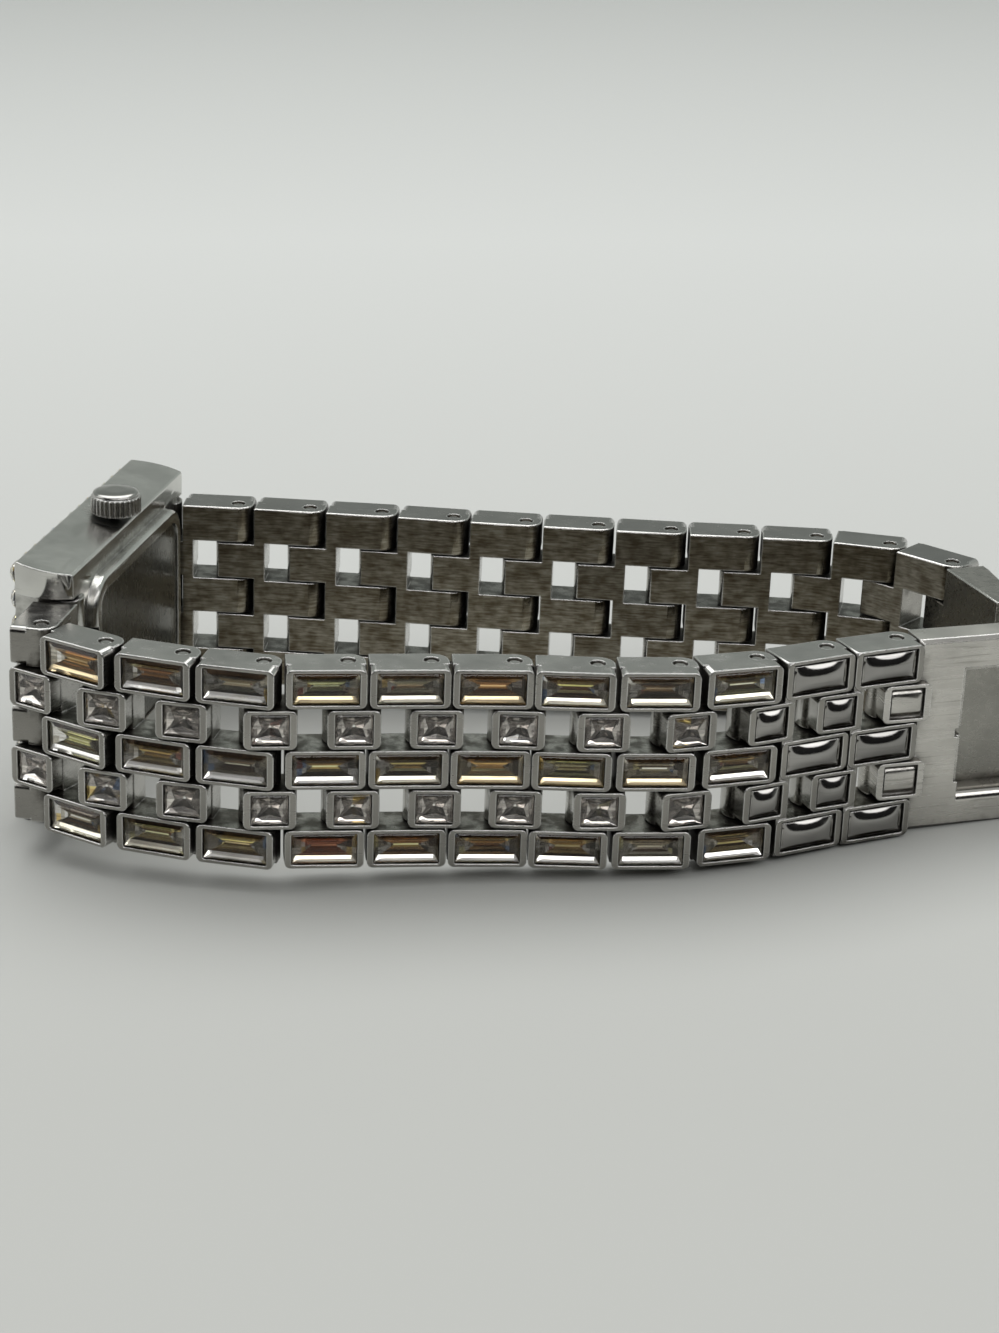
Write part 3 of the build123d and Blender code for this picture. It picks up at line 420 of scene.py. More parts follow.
def wear_inside(made, inner, roughness):
    """Faces on the wrist's side, dull and yellowed along the brushing."""
    tree = made.tree
    back = facing(tree, made.flat, inner, SIDE_FACES)
    worn = times(tree, ramp(tree, made.lines, WORN_STREAKS), ramp(tree, made.patches, WORN_PATCHES))
    worn = times(tree, worn, remap(tree, made.own, 0.0, 1.0, *WORN_SHARES))
    made.metal = mix_colour(tree, back, made.metal, worn)
    roughen(made, back, roughness + WORN_ROUGHER)


def wear_and_highlight_edges(made):
    """Edges painted lighter, partly rubbed wear and partly a painted highlight, found where the rounded
    normal turns away from the flat one.
    """
    turned = alike(made.tree, made.rounded, made.flat)
    edge = remap(made.tree, turned, *EDGE_TURNS, 0.0, 1.0)
    made.metal = mix_colour(made.tree, edge, made.metal, EDGE_WEAR_AND_HIGHLIGHT)
    roughen(made, edge, EDGE_ROUGHNESS)


# %% Dirt and painted shade in the corners
CORNER_DIRT_AND_SHADE = (0.035, 0.03, 0.022, 1)
DIRT_ROUGHNESS = 0.5
# A place is a corner where it sees less of the sky than this: full dirt and painted shade at the first,
# none at the last.
CORNER_SKY = (0.3, 0.82)
RAGGED = 0.16
LUG_TOP = 19.2
LUG_FADE = 0.6
BLOTCH_EDGE = (0.38, 0.55)
BLOTCH_SHARES = (0.35, 1.0)
END_FACES = (0.3, 0.7)


def corner_dirt_and_shade(made, grime_and_shade, reach):
    """A mask of the corners, for soiling and painted shade, ragged along its border."""
    tree = made.tree
    open_sky = add(tree, "AmbientOcclusion", {"Distance": reach * MM}, samples=6).outputs["AO"]
    ragged = remap(tree, made.patches, *MOST, -RAGGED, RAGGED)
    corner = add(tree, "Math", {0: open_sky, 1: ragged}).outputs[0]
    return remap(tree, corner, *CORNER_SKY, grime_and_shade, 0.0)


def lug_dirt_and_shade_blotches(made, end_way, amount):
    """A mask of blotches of soiling and painted shade on the ends of the case, below its top."""
    tree = made.tree
    low = remap(tree, made.height, LUG_TOP * MM, (LUG_TOP - LUG_FADE) * MM, 0.0, amount)
    end = facing(tree, made.flat, end_way, END_FACES, both=True)
    blotch = remap(tree, made.patches, *BLOTCH_EDGE, *BLOTCH_SHARES)
    return where_both(tree, where_both(tree, low, end), blotch)


# %% One recipe for every steel
# Painted shade: the share of colour that outward faces keep.
OUTER_PAINTED_SHADE = (0.54, 0.53, 0.51)
SLOPING_FACES = (0.03, 0.16)
MIRROR_FACES = (0.5, 0.85)
MIRROR_ROUGHNESS = 0.1
LEVEL_WARMTH = 0.01
LONG_SCRATCH = (170, 130, 4600)
SCRATCH_EDGE = (0.62, 0.7)
SCRATCH_TONE = (0.45, 0.44, 0.42)
CALM_BUMP = 0.2
BUMP_HEIGHT = 0.02


def steel(name, tone, roughness, brush=(1, 1, 1), grain=0.05, bump=0.05, grime_and_shade=0.85,
          inner=None, outer=None, polish=0.0, shine=(), scratch=0.0, lug_dirt_and_shade=0.0,
          level_painted_shade=0.78, reach=1.2):
    """Brushed steel with softened edges and dark corners.

    inner is a direction whose faces have yellowed, and outer one whose faces are painted darker, a
    painted shade. polish smooths every face that is neither upright nor level, such as a dome or a
    rounded edge. shine lists directions whose faces are polished. scratch is how strongly long
    scratches show, and lug_dirt_and_shade is how dark the faces between the lugs are, with soiling and
    painted shade. level_painted_shade darkens level faces, a painted shade, and reach is how far the
    soiling and painted shade of a corner spreads, in mm.
    """
    material = bpy.data.materials.new(name)
    tree = new_tree(material)
    made = bare_steel(tree, tone, roughness, brush, grain)
    # Painted shade: level faces keep only a share of their colour.
    darken(made, made.level, (level_painted_shade, level_painted_shade, level_painted_shade - LEVEL_WARMTH))
    if inner is not None:
        spot_ledges(made)
    if outer is not None:
        # Painted shade on the outward faces.
        darken(made, facing(tree, made.flat, outer, SIDE_FACES), OUTER_PAINTED_SHADE)
    if inner is not None:
        wear_inside(made, inner, roughness)
    if polish:
        sloping = facing(tree, made.rounded, UP, SLOPING_FACES, both=True)
        edge = add(tree, "Math", {0: sloping, 1: made.level}, operation="SUBTRACT", use_clamp=True)
        roughen(made, edge.outputs[0], polish)
    calm = made.level
    for direction in shine:
        mirror = facing(tree, made.flat, direction, MIRROR_FACES)
        roughen(made, mirror, MIRROR_ROUGHNESS)
        calm = either(tree, calm, mirror)
    if scratch:
        marks = noise(tree, made.place, LONG_SCRATCH, 1.0)
        darken(made, remap(tree, marks, *SCRATCH_EDGE, 0.0, scratch), SCRATCH_TONE)
    wear_and_highlight_edges(made)
    # Corners, and the faces between the lugs, are darkened: dirt and painted shade.
    dirt_and_shade = corner_dirt_and_shade(made, grime_and_shade, reach)
    if lug_dirt_and_shade:
        dirt_and_shade = either(tree, dirt_and_shade, lug_dirt_and_shade_blotches(made, shine[0], lug_dirt_and_shade))
    made.metal = mix_colour(tree, dirt_and_shade, made.metal, CORNER_DIRT_AND_SHADE)
    roughen(made, dirt_and_shade, DIRT_ROUGHNESS)
    strength = blend(tree, calm, bump, bump * CALM_BUMP)
    relief = add(tree, "Bump", {"Height": made.lines, "Strength": strength,
                                "Distance": BUMP_HEIGHT * MM, "Normal": made.rounded})
    shader = add(tree, "BsdfPrincipled", {"Base Color": made.metal, "Metallic": 1.0,
                                          "Roughness": made.rough, "Normal": relief.outputs[0]})
    add(tree, "OutputMaterial", {"Surface": shader.outputs[0]})
    return material


def dress(names, material):
    """Gives a finish to nodes of the watch."""
    for name in names:
        piece = nodes[name]
        piece.data.materials.clear()
        piece.data.materials.append(None)
        piece.material_slots[0].link = "OBJECT"
        piece.material_slots[0].material = material


# %% The finishes of the band
NEAR_LINKS = sorted(name for name in nodes if name.startswith("near_link"))
FAR_LINKS = sorted(name for name in nodes if name.startswith("far_link"))
LIGHT_STEEL = (0.62, 0.61, 0.585)
LENGTHWISE = (0.25, 0.4, 1.8)
FRONT = (0, -1, 0)
BEHIND = (0, 1, 0)
# Painted shade on the level faces of each strand, much deeper on the far strand.
LEVEL_PAINTED_SHADES = {"near": 0.78, "far": 0.42}


def is_plain(link):
    """Whether a link carries no stones."""
    return link.replace("link", "stones") not in nodes


for links, inward, outward in ((NEAR_LINKS, BEHIND, FRONT), (FAR_LINKS, FRONT, BEHIND)):
    side = links[0].split("_")[0]
    look = {"grime_and_shade": 0.95, "inner": inward, "outer": outward, "level_painted_shade": LEVEL_PAINTED_SHADES[side]}
    satin = steel(f"{side}_link_satin", LIGHT_STEEL, 0.24, LENGTHWISE, polish=0.12, reach=1.7, **look)
    bright = steel(f"{side}_link_polished", LIGHT_STEEL, 0.2, LENGTHWISE, polish=0.1, reach=1.5,
                   shine=[outward], **look)
    plain = [link for link in links if is_plain(link)]
    dress([link for link in links if link not in plain], satin)
    dress(plain, bright)
    print(side, "strand:", len(links), "links,", len(plain), "of them plain")

# %% The finishes of the case and the clasp
dial_way = case_axis()
case_way = dial_way.cross(Vector(UP))
case_ends = [tuple(case_way), tuple(-case_way), tuple(dial_way)]
polished = steel("polished_steel", (0.7, 0.69, 0.67), 0.1, grain=0.03, bump=0.01, grime_and_shade=0.8)
case_satin = steel("case_satin", (0.74, 0.735, 0.7), 0.22, (0.3, 1, 1), polish=0.12,
                   shine=case_ends, scratch=0.2, lug_dirt_and_shade=0.42)
crown_steel = steel("crown_steel", (0.44, 0.43, 0.41), 0.15, grain=0.03, bump=0.02, grime_and_shade=1.0)
back_brushed = steel("back_brushed", (0.27, 0.265, 0.24), 0.26, (0.6, 0.6, 0.3), grain=0.03,
                     bump=0.02)
cover_brushed = steel("cover_brushed", (0.65, 0.63, 0.59), 0.3, (0.06, 0.06, 1.3), grain=0.1,
                      bump=0.12, polish=0.12, scratch=0.42)
# Painted shade: the catch and tongue sit inside the clasp, so their steel is a darker copy.
shaded_catch_steel = steel("shaded_catch_steel", (0.36, 0.35, 0.32), 0.3, (0.5, 1, 1), grain=0.08, bump=0.2,
                    polish=0.15)
dress(["case"], case_satin)
dress(["crown"], crown_steel)
dress(["lug_pins", "stem"], polished)
dress(["back_plate"], back_brushed)
dress(["clasp_cover"], cover_brushed)
dress(["clasp_catch", "clasp_tongue"], shaded_catch_steel)
print("case and clasp dressed")

# %% [markdown]
# ## Softened edges
# No real edge is sharp: a tiny round catches a line of light, and without it metal looks like paper.
# A Bevel modifier adds that round to every sharp edge. The imported mesh has its vertices split along
# edges, so a Weld goes first. Both only dress the piece: its own mesh is left alone.
#
# The imported shading doesn't survive the weld, so it is worked out anew in a few geometry nodes: drop
# the old normals, shade every face smooth but the nearly level ones, and keep edges sharp where faces
# meet at more than a set angle. Nearly level faces, such as the tops of the links, are shaded flat,
# because smooth shading would pull their corners dark. A Weighted Normal modifier then keeps the
# broad flats perfectly flat.

# %% Shading worked out from the angles
SHARP = 32
# A face counts as level when its normal's upright part is at least this, which is within ten degrees.
LEVEL = 0.985


def shade_by_angle():
    """A geometry node group that shades smooth across all but level faces and sharp edges."""
    group = bpy.data.node_groups.new("shade_by_angle", "GeometryNodeTree")
    group.interface.new_socket("Geometry", in_out="INPUT", socket_type="NodeSocketGeometry")
    group.interface.new_socket("Geometry", in_out="OUTPUT", socket_type="NodeSocketGeometry")
    make = group.nodes.new
    entry, leave = make("NodeGroupInput"), make("NodeGroupOutput")
    forget = make("GeometryNodeRemoveAttribute")
    forget.inputs["Name"].default_value = "custom_normal"
    normal, parts = make("GeometryNodeInputNormal"), make("ShaderNodeSeparateXYZ")
    upright, sloping = make("ShaderNodeMath"), make("ShaderNodeMath")
    upright.operation = "ABSOLUTE"
    sloping.operation = "LESS_THAN"
    sloping.inputs[1].default_value = LEVEL
    smooth_faces = make("GeometryNodeSetShadeSmooth")
    angle, steep = make("GeometryNodeInputMeshEdgeAngle"), make("FunctionNodeCompare")
    steep.data_type = "FLOAT"
    steep.operation = "GREATER_THAN"
    steep.inputs[1].default_value = math.radians(SHARP)
    sharp_edges = make("GeometryNodeSetShadeSmooth")
    sharp_edges.domain = "EDGE"
    sharp_edges.inputs["Shade Smooth"].default_value = False
    link = group.links.new
    link(entry.outputs[0], forget.inputs["Geometry"])
    link(forget.outputs[0], smooth_faces.inputs["Geometry"])
    link(normal.outputs[0], parts.inputs[0])
    link(parts.outputs["Z"], upright.inputs[0])
    link(upright.outputs[0], sloping.inputs[0])
    link(sloping.outputs[0], smooth_faces.inputs["Shade Smooth"])
    link(smooth_faces.outputs[0], sharp_edges.inputs["Geometry"])
    link(angle.outputs["Unsigned Angle"], steep.inputs[0])
    link(steep.outputs[0], sharp_edges.inputs["Selection"])
    link(sharp_edges.outputs[0], leave.inputs[0])
    return group


by_angle = shade_by_angle()

# %% Rounding every sharp edge
EDGE_ROUND = 0.11
COVER_ROUND = 0.3
WELD_REACH = 0.0005


def soften(names, width=EDGE_ROUND, segments=2):
    """A small round along the sharp edges of some nodes."""
    for name in names:
        piece = nodes[name]
        weld = piece.modifiers.new("weld", "WELD")
        weld.merge_threshold = WELD_REACH * MM
        bevel = piece.modifiers.new("edge_round", "BEVEL")
        bevel.width = width * MM
        bevel.segments = segments
        bevel.limit_method = "ANGLE"
        bevel.angle_limit = math.radians(SHARP)
        bevel.use_clamp_overlap = True
        piece.modifiers.new("shading", "NODES").node_group = by_angle
        flats = piece.modifiers.new("flats", "WEIGHTED_NORMAL")
        flats.keep_sharp = True
        flats.weight = 100


soften(NEAR_LINKS + FAR_LINKS)
soften(["case", "clasp_catch", "clasp_tongue", "back_plate"])
soften(["clasp_cover"], COVER_ROUND, 6)
print("edges rounded by", EDGE_ROUND, "mm")

# %% [markdown]
# ## Cut crystals
# A crystal is read by its facets. Each stone is built as a stack of rings: a flat table, sloping crown
# facets, a thin girdle and stepped facets that run down to a keel. The upper facets are clear glass.
# The lower ones are a foil, because such stones have a mirrored back, and each foil facet has its own
# colour: the stone's tint with painted reflections and highlights. A step cut has long unbroken stripes
# of reflection, so all the facets on one side of a step share one painted stripe. The step that leans
# towards the sky is painted nearly white, a painted highlight, the step towards the ground is painted
# dark, and a few facets carry painted flashes of amber, red or blue.

# %% Glass and foil
GLASS_TINT = (0.99, 0.98, 0.96)
GLASS_IOR = 1.45
# Painted light on the foil: stripes and ends are painted reflections, and the bright ones are painted
# highlights on the step towards the sky.
STRIPE_TINTS_AND_REFLECTIONS = [(0.08, 0.05, 0.03), (0.16, 0.105, 0.065), (0.29, 0.225, 0.145),
                (0.46, 0.41, 0.31), (0.4, 0.385, 0.31), (0.68, 0.62, 0.5), (0.9, 0.86, 0.76)]
END_TINTS_AND_REFLECTIONS = [(0.2, 0.175, 0.14), (0.4, 0.37, 0.31), (0.62, 0.59, 0.52), (0.95, 0.94, 0.9)]
SKY_STEP_HIGHLIGHTS = [(1.0, 0.99, 0.96), (1.0, 0.98, 0.93), (0.95, 0.9, 0.76), (0.8, 0.66, 0.42)]
BRIGHT_WEIGHTS = (6, 4, 3, 2)
STONE_CASTS = [(1.15, 1.15, 1.12), (1.45, 1.1, 0.72), (1.35, 1.2, 0.8), (1.15, 1.25, 0.95),
               (1.55, 0.9, 0.72)]
CAST_WEIGHTS = (3, 4, 3, 2, 2)
# Painted glints: a few facets flash these colours.
SPARKS = [(0.98, 0.72, 0.3), (0.9, 0.85, 0.5), (0.35, 0.48, 0.75), (1.0, 0.98, 0.95),
          (0.5, 0.2, 0.16)]
# Painted reflection streaks along the stone, as a share of the facet's colour.
FOIL_STREAKS = (260, 260, 5200)
STREAK_EDGE = (0.35, 0.62)
STREAK_SHARES = (0.75, 1.2)


def clear_glass(name, tint):
    """Clear glass that bends light."""
    material = bpy.data.materials.new(name)
    tree = new_tree(material)
    shader = add(tree, "BsdfPrincipled", {"Base Color": (*tint, 1), "Roughness": 0.0,
                                          "IOR": GLASS_IOR, "Transmission Weight": 1.0})
    add(tree, "OutputMaterial", {"Surface": shader.outputs[0]})
    return material


def foil(name):
    """A half mirror with the facet's tint and painted light, and fine painted reflection streaks along
    the stone.
    """
    material = bpy.data.materials.new(name)
    tree = new_tree(material)
    tone = add(tree, "VertexColor", layer_name="facet_tint_and_light").outputs["Color"]
    place = add(tree, "TexCoord").outputs["Object"]
    streak = noise(tree, place, FOIL_STREAKS)
    colour = times(tree, tone, remap(tree, streak, *STREAK_EDGE, *STREAK_SHARES))
    shader = add(tree, "BsdfPrincipled", {"Base Color": colour, "Metallic": 0.8, "Roughness": 0.09})
    add(tree, "OutputMaterial", {"Surface": shader.outputs[0]})
    return material


stone_glass = clear_glass("stone_glass", GLASS_TINT)
stone_foil = foil("stone_foil")

# %% A stone from a stack of rings
BAND_THICKNESS = 3.4
STONE_TOP = BAND_THICKNESS - 0.04
STONE_FLOOR = 2.16


def rectangle(length, width, corner=0.0):
    """The ring of a stone: four corners and four side middles, which may be pushed out or in."""
    x, z = length / 2, width / 2
    return [(-x, -z), (0, -z - corner), (x, -z), (x + corner, 0),
            (x, z), (0, z + corner), (-x, z), (-x - corner, 0)]


def stack(mesh, levels, place, tints_and_light):
    """Adds one stone: flat facets between (height, ring, is glass) levels.

    tints gives the colour of a foil facet from its level and its side: the stone's tint with painted
    reflections, highlights and glints.
    """
    tint_and_light_layer = mesh.loops.layers.float_color["facet_tint_and_light"]
    rings = []
    for height, ring, _ in levels:
        rings.append([mesh.verts.new(place @ (Vector((x, height, z)) * MM)) for x, z in ring])
    faces = [(mesh.faces.new(rings[0]), True, GLASS_TINT)]
    for number, (upper, lower) in enumerate(zip(rings, rings[1:]), 1):
        glass = levels[number][2]
        for i in range(len(upper)):
            j = (i + 1) % len(upper)
            facet = mesh.faces.new((upper[i], lower[i], lower[j], upper[j]))
            faces.append((facet, glass, GLASS_TINT if glass else tints_and_light(number, i)))
    faces.append((mesh.faces.new(list(reversed(rings[-1]))), False, tints_and_light(len(levels), 0)))
    for face, glass, colour in faces:
        face.material_index = 0 if glass else 1
        for loop in face.loops:
            loop[tint_and_light_layer] = (*colour, 1)


# %% The long cut
LONG_STONE = (4.9, 2.46)
FIRST_FOIL = 4
# The chance that an end facet carries a painted glint.
LONG_SPARK = 0.12


def baguette_rings():
    """Step cut: two crown steps, a girdle, a wide pavilion step and a shallow roof of narrow ones."""
    length, width = LONG_STONE
    return [
        (STONE_TOP, rectangle(length - 1.0, width - 0.9), True),
        (STONE_TOP - 0.10, rectangle(length - 0.5, width - 0.4), True),
        (STONE_TOP - 0.22, rectangle(length, width), True),
        (STONE_TOP - 0.28, rectangle(length, width), False),
        (STONE_TOP - 0.52, rectangle(length - 0.8, width - 1.15), False),
        (STONE_TOP - 0.72, rectangle(length - 1.5, width - 1.5), False),
        (STONE_TOP - 0.88, rectangle(length - 2.1, width - 1.8), False),
        (STONE_TOP - 1.02, rectangle(length - 2.6, width - 2.15), False),
        (STONE_FLOOR, rectangle(length - 3.0, 0.1), False),
    ]


def long_tints_and_light(chance, sky_sides):
    """Tints of a long stone with painted light: reflection stripes, glints at the ends, a highlight
    towards the sky and shade towards the ground.
    """
    stripes = {}
    ground_sides = (0, 1) if sky_sides == (4, 5) else (4, 5)
    bright = chance.choices(SKY_STEP_HIGHLIGHTS, BRIGHT_WEIGHTS)[0]
    cast = chance.choices(STONE_CASTS, CAST_WEIGHTS)[0]

    def tint_and_light_of(level, side):
        if level == FIRST_FOIL and side in sky_sides:
            return bright
        if level == FIRST_FOIL and side in ground_sides:
            return STRIPE_TINTS_AND_REFLECTIONS[0]
        if side in (2, 3, 6, 7):
            picked = chance.choice(END_TINTS_AND_REFLECTIONS[1:] if side in (6, 7) else END_TINTS_AND_REFLECTIONS)
            return chance.choice(SPARKS) if chance.random() < LONG_SPARK else picked
        key = (level, side in sky_sides)
        if key not in stripes:
            stripe = chance.choice(STRIPE_TINTS_AND_REFLECTIONS)
            stripes[key] = tuple(min(1.0, value * share) for value, share in zip(stripe, cast))
        return stripes[key]

    return tint_and_light_of


# %% The square cut
SQUARE_STONE = (2.8, 2.46)
SQUARE_TINT = (1.0, 0.95, 0.9)
SQUARE_SHARES = (0.9, 1.25)
# Painted light of a square stone: the chance of a painted glint, and how bright each side's foil facets
# are, pale lobes towards the sky and a dark wedge below.
SQUARE_SPARK = 0.05
LOBES_SHARES = [1.0, 0.95, 0.55, 0.85, 0.10, 0.12, 0.9, 0.5]
RIM_SHARES = [0.45, 0.4, 0.5, 0.65, 1.0, 1.0, 0.7, 0.45]


def square_rings():
    """Mixed cut: a step crown over a pavilion whose sides break at their middles."""
    length, width = SQUARE_STONE
    return [
        (STONE_TOP, rectangle(length - 0.9, width - 0.85), True),
        (STONE_TOP - 0.10, rectangle(length - 0.45, width - 0.4), True),
        (STONE_TOP - 0.22, rectangle(length, width), True),
        (STONE_TOP - 0.28, rectangle(length, width), False),
        (STONE_TOP - 0.50, rectangle(length - 1.0, width - 1.0, -0.26), False),
        (STONE_FLOOR, rectangle(0.16, 0.16), False),
    ]


def square_tints_and_light(chance, near):
    """Tints of a square stone: two painted highlight lobes towards the sky, a painted dark wedge below
    them, and painted glints.
    """
    def tint_and_light_of(level, side):
        turned = side if near else (side + 4) % 8
        shares = RIM_SHARES if level == FIRST_FOIL else LOBES_SHARES
        share = min(1.0, shares[turned] * chance.uniform(*SQUARE_SHARES))
        if chance.random() < SQUARE_SPARK:
            return chance.choice(SPARKS)
        return tuple(value * share for value in SQUARE_TINT)

    return tint_and_light_of


# %% [markdown]
# ## Setting the stones
# Every link has the same five settings, so one function finds them, and a link's own place comes from
# its two hinge pins: one pin to the next gives the direction of the link. The near strand shows its
# outer side to the camera and the far strand to the other side, so the outward direction turns with
# the strand. Each set of stones replaces the plain ones of the mechanical model.

# %% Where a link lies
PIN_BACK = 1.55
PIN_HEIGHT = 1.33
ROW_PITCH = 3.24
ROWS = 5
LONG_CENTRE = 2.99
SQUARE_CENTRE = -1.116
STRAND_ENDS = {"near": "clasp_cover", "far": "clasp_tongue"}


def pin_of(body):
    """The place of the hinge pin by which a body hangs."""
    return Vector(hinges[body]["pos_m"])


def link_place(body, following, near):
    """Local frame of a link: X along the strand, Y outward, Z up, from its inner face at the spine."""
    pin = pin_of(body)
    along = (pin_of(following) - pin).normalized()
    outward = Vector((along.y, -along.x, 0)) if near else Vector((-along.y, along.x, 0))
    across = along.cross(outward)
    turn = Matrix((along, outward, across)).transposed().to_4x4()
    return Matrix.Translation(pin) @ turn @ Matrix.Translation((PIN_BACK * MM, -PIN_HEIGHT * MM, 0))


def settings(side, number):
    """The five settings of a link, from its foot up, each as (whether it is long, its place)."""
    following = f"{side}_link_{number + 1:02d}"
    if following not in nodes:
        following = STRAND_ENDS[side]
    spine = link_place(f"{side}_link_{number:02d}", following, side == "near")
    for row in range(ROWS):
        long = row % 2 == 0
        centre = LONG_CENTRE if long else SQUARE_CENTRE
        height = (row - ROWS // 2) * ROW_PITCH
        yield long, spine @ Matrix.Translation((centre * MM, 0, height * MM))


def finish_mesh(mesh, name, materials):
    """Turns a bmesh into an object with its materials."""
    bmesh.ops.recalc_face_normals(mesh, faces=mesh.faces)
    data = bpy.data.meshes.new(name)
    mesh.to_mesh(data)
    mesh.free()
    for material in materials:
        data.materials.append(material)
    piece = bpy.data.objects.new(name, data)
    bpy.context.scene.collection.objects.link(piece)
    return piece


# %% Stones for both strands
def set_stones(side, count):
    """Five stones on each link of a strand that has them."""
    near = side == "near"
    sky_sides = (4, 5) if near else (0, 1)
    for number in range(1, count + 1):
        body = f"{side}_link_{number:02d}"
        node = f"{side}_stones_{number:02d}"
        if is_plain(body):
            continue
        chance = random.Random(node)
        mesh = bmesh.new()
        mesh.loops.layers.float_color.new("facet_tint_and_light")
        for long, place in settings(side, number):
            if long:
                stack(mesh, baguette_rings(), place, long_tints_and_light(chance, sky_sides))
            else:
                stack(mesh, square_rings(), place, square_tints_and_light(chance, near))
        piece = finish_mesh(mesh, f"{side}_crystals_{number:02d}", [stone_glass, stone_foil])
        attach(piece, body)
        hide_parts(node)


set_stones("near", len(NEAR_LINKS))
set_stones("far", len(FAR_LINKS))

# %% [markdown]
# ## Pillows on the plain links
# The links without stones have polished pillows in their cups. A pillow is a sheet that is high in its
# middle and falls off to all four sides, and its curve is what bends the dark card and the lamp into
# a dark lens with a bright crescent above it. It could be a subdivided cube, but a grid of points on
# one formula gives the exact curve, and its skirt reaches down into the cup.

# %% Pillows
PILLOW_RISE = 0.46
PILLOW_BASE = 3.2
PILLOW_SKIRT = 2.9
LONG_PILLOW = (4.62, 2.16)
SQUARE_PILLOW = (2.5, 2.16)
PILLOW_STEPS = (22, 14)


def pillow(mesh, place, size):
    """One domed sheet with a skirt round it."""
    length, width = size
    across, up = PILLOW_STEPS
    grid = {}
    for i in range(across + 1):
        for j in range(up + 1):
            u, v = 2 * i / across - 1, 2 * j / up - 1
            u, v = math.sin(u * math.pi / 2), math.sin(v * math.pi / 2)
            rise = PILLOW_RISE * (1 - (u * u + u ** 4) / 2) * (1 - v * v)
            point = Vector((u * length / 2, PILLOW_BASE + rise, v * width / 2))
            grid[i, j] = mesh.verts.new(place @ (point * MM))
    for i in range(across):
        for j in range(up):
            face = mesh.faces.new((grid[i, j], grid[i + 1, j], grid[i + 1, j + 1], grid[i, j + 1]))
            face.smooth = True
    rim = [grid[i, 0] for i in range(across)] + [grid[across, j] for j in range(up)]
    rim += [grid[i, up] for i in range(across, 0, -1)] + [grid[0, j] for j in range(up, 0, -1)]
    down = place.to_3x3() @ Vector((0, (PILLOW_SKIRT - PILLOW_BASE) * MM, 0))
    skirt = [mesh.verts.new(point.co + down) for point in rim]
    for i, point in enumerate(rim):
        j = (i + 1) % len(rim)
        mesh.faces.new((point, rim[j], skirt[j], skirt[i]))
    mesh.faces.new(list(reversed(skirt)))


pillow_steel = steel("pillow_steel", (0.38, 0.37, 0.355), 0.09, grain=0.03, bump=0.015, grime_and_shade=0.25,
                     scratch=0.2, reach=0.5)


def set_pillows(side, count):
    """Five pillows on each plain link of a strand."""
    for number in range(1, count + 1):
        body = f"{side}_link_{number:02d}"
        if not is_plain(body):
            continue
        mesh = bmesh.new()
        for long, place in settings(side, number):
            pillow(mesh, place, LONG_PILLOW if long else SQUARE_PILLOW)
        piece = finish_mesh(mesh, f"{side}_pillows_{number:02d}", [pillow_steel])
        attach(piece, body)
        print("pillows on", body)


set_pillows("near", len(NEAR_LINKS))
set_pillows("far", len(FAR_LINKS))

# %% [markdown]
# ## The dial side
# The dial faces away from this camera, but a watch is turned over in the hand, so it is finished too.

# %% Dial, glass and hands
PAINT_CLOUDS = 900.0
PAINT_STOPS = (0.35, 0.65)
PAINT_SHARE = 0.93
dial_glass = clear_glass("dial_glass", (0.97, 0.98, 0.98))
dress(["watch_glass"], dial_glass)
dress(["dial_markers", "hour_hand", "minute_hand", "second_hand", "battery"], polished)


def lacquer(name, colour, roughness):
    """Smooth paint with a faint sheen."""
    material = bpy.data.materials.new(name)
    tree = new_tree(material)
    place = add(tree, "TexCoord").outputs["Object"]
    cloud = add(tree, "TexNoise", {"Vector": place, "Scale": PAINT_CLOUDS}).outputs["Fac"]
    dim = tuple(value * PAINT_SHARE for value in colour)
    shade = ramp(tree, cloud, list(zip(PAINT_STOPS, (dim, colour))))
    shader = add(tree, "BsdfPrincipled", {"Base Color": shade, "Roughness": roughness})
    add(tree, "OutputMaterial", {"Surface": shader.outputs[0]})
    return material


dress(["dial"], lacquer("dial_lacquer", (0.82, 0.8, 0.75), 0.3))
dress(["movement"], steel("movement_plate", (0.7, 0.58, 0.35), 0.3))
dress(["back_gasket"], lacquer("gasket_rubber", (0.03, 0.03, 0.03), 0.6))

# %% [markdown]
# ## Stones of the bezel
# The bezel carries one row of round stones. They are brilliant cut: an eight-sided table, a ring of
# sixteen girdle points and a pointed pavilion. Small beads of steel, raised from the bezel between
# the stones, hold them. The row is laid out by the same rule as in the mechanical model.

# %% Round stones and beads
CASE_LENGTH = 27.5
BEZEL_WIDTH = 2.7
BEZEL_SPACING = 2.02
BEZEL_TOP = 5.45
BEZEL_FACE = 4.75
ROUND_RADIUS = 0.9
ROUND_SIDES = 16
# Each facet of a round stone takes one of these at random: painted reflections, glints and highlights.
ROUND_TINTS_AND_GLINTS = END_TINTS_AND_REFLECTIONS + SPARKS[:3] + SKY_STEP_HIGHLIGHTS
BEAD_RADIUS = 0.28
BEAD_RISE = 0.05
BEAD_ASIDE = 0.62
BEAD_MARGIN = 0.9
NEIGHBOURS = (0.1, BEZEL_SPACING * 1.2)


def bezel_places():
    """Centres of the round stones, as (along the case, up from its middle)."""
    length, width = CASE_LENGTH - BEZEL_WIDTH, CASE_WIDTH - BEZEL_WIDTH
    along, across = round(length / BEZEL_SPACING), round(width / BEZEL_SPACING)
    places = []
    for i in range(along):
        x = -length / 2 + length * i / along
        places += [(x, -width / 2), (-x, width / 2)]
    for i in range(across):
        z = -width / 2 + width * i / across
        places += [(length / 2, z), (-length / 2, -z)]
    return places


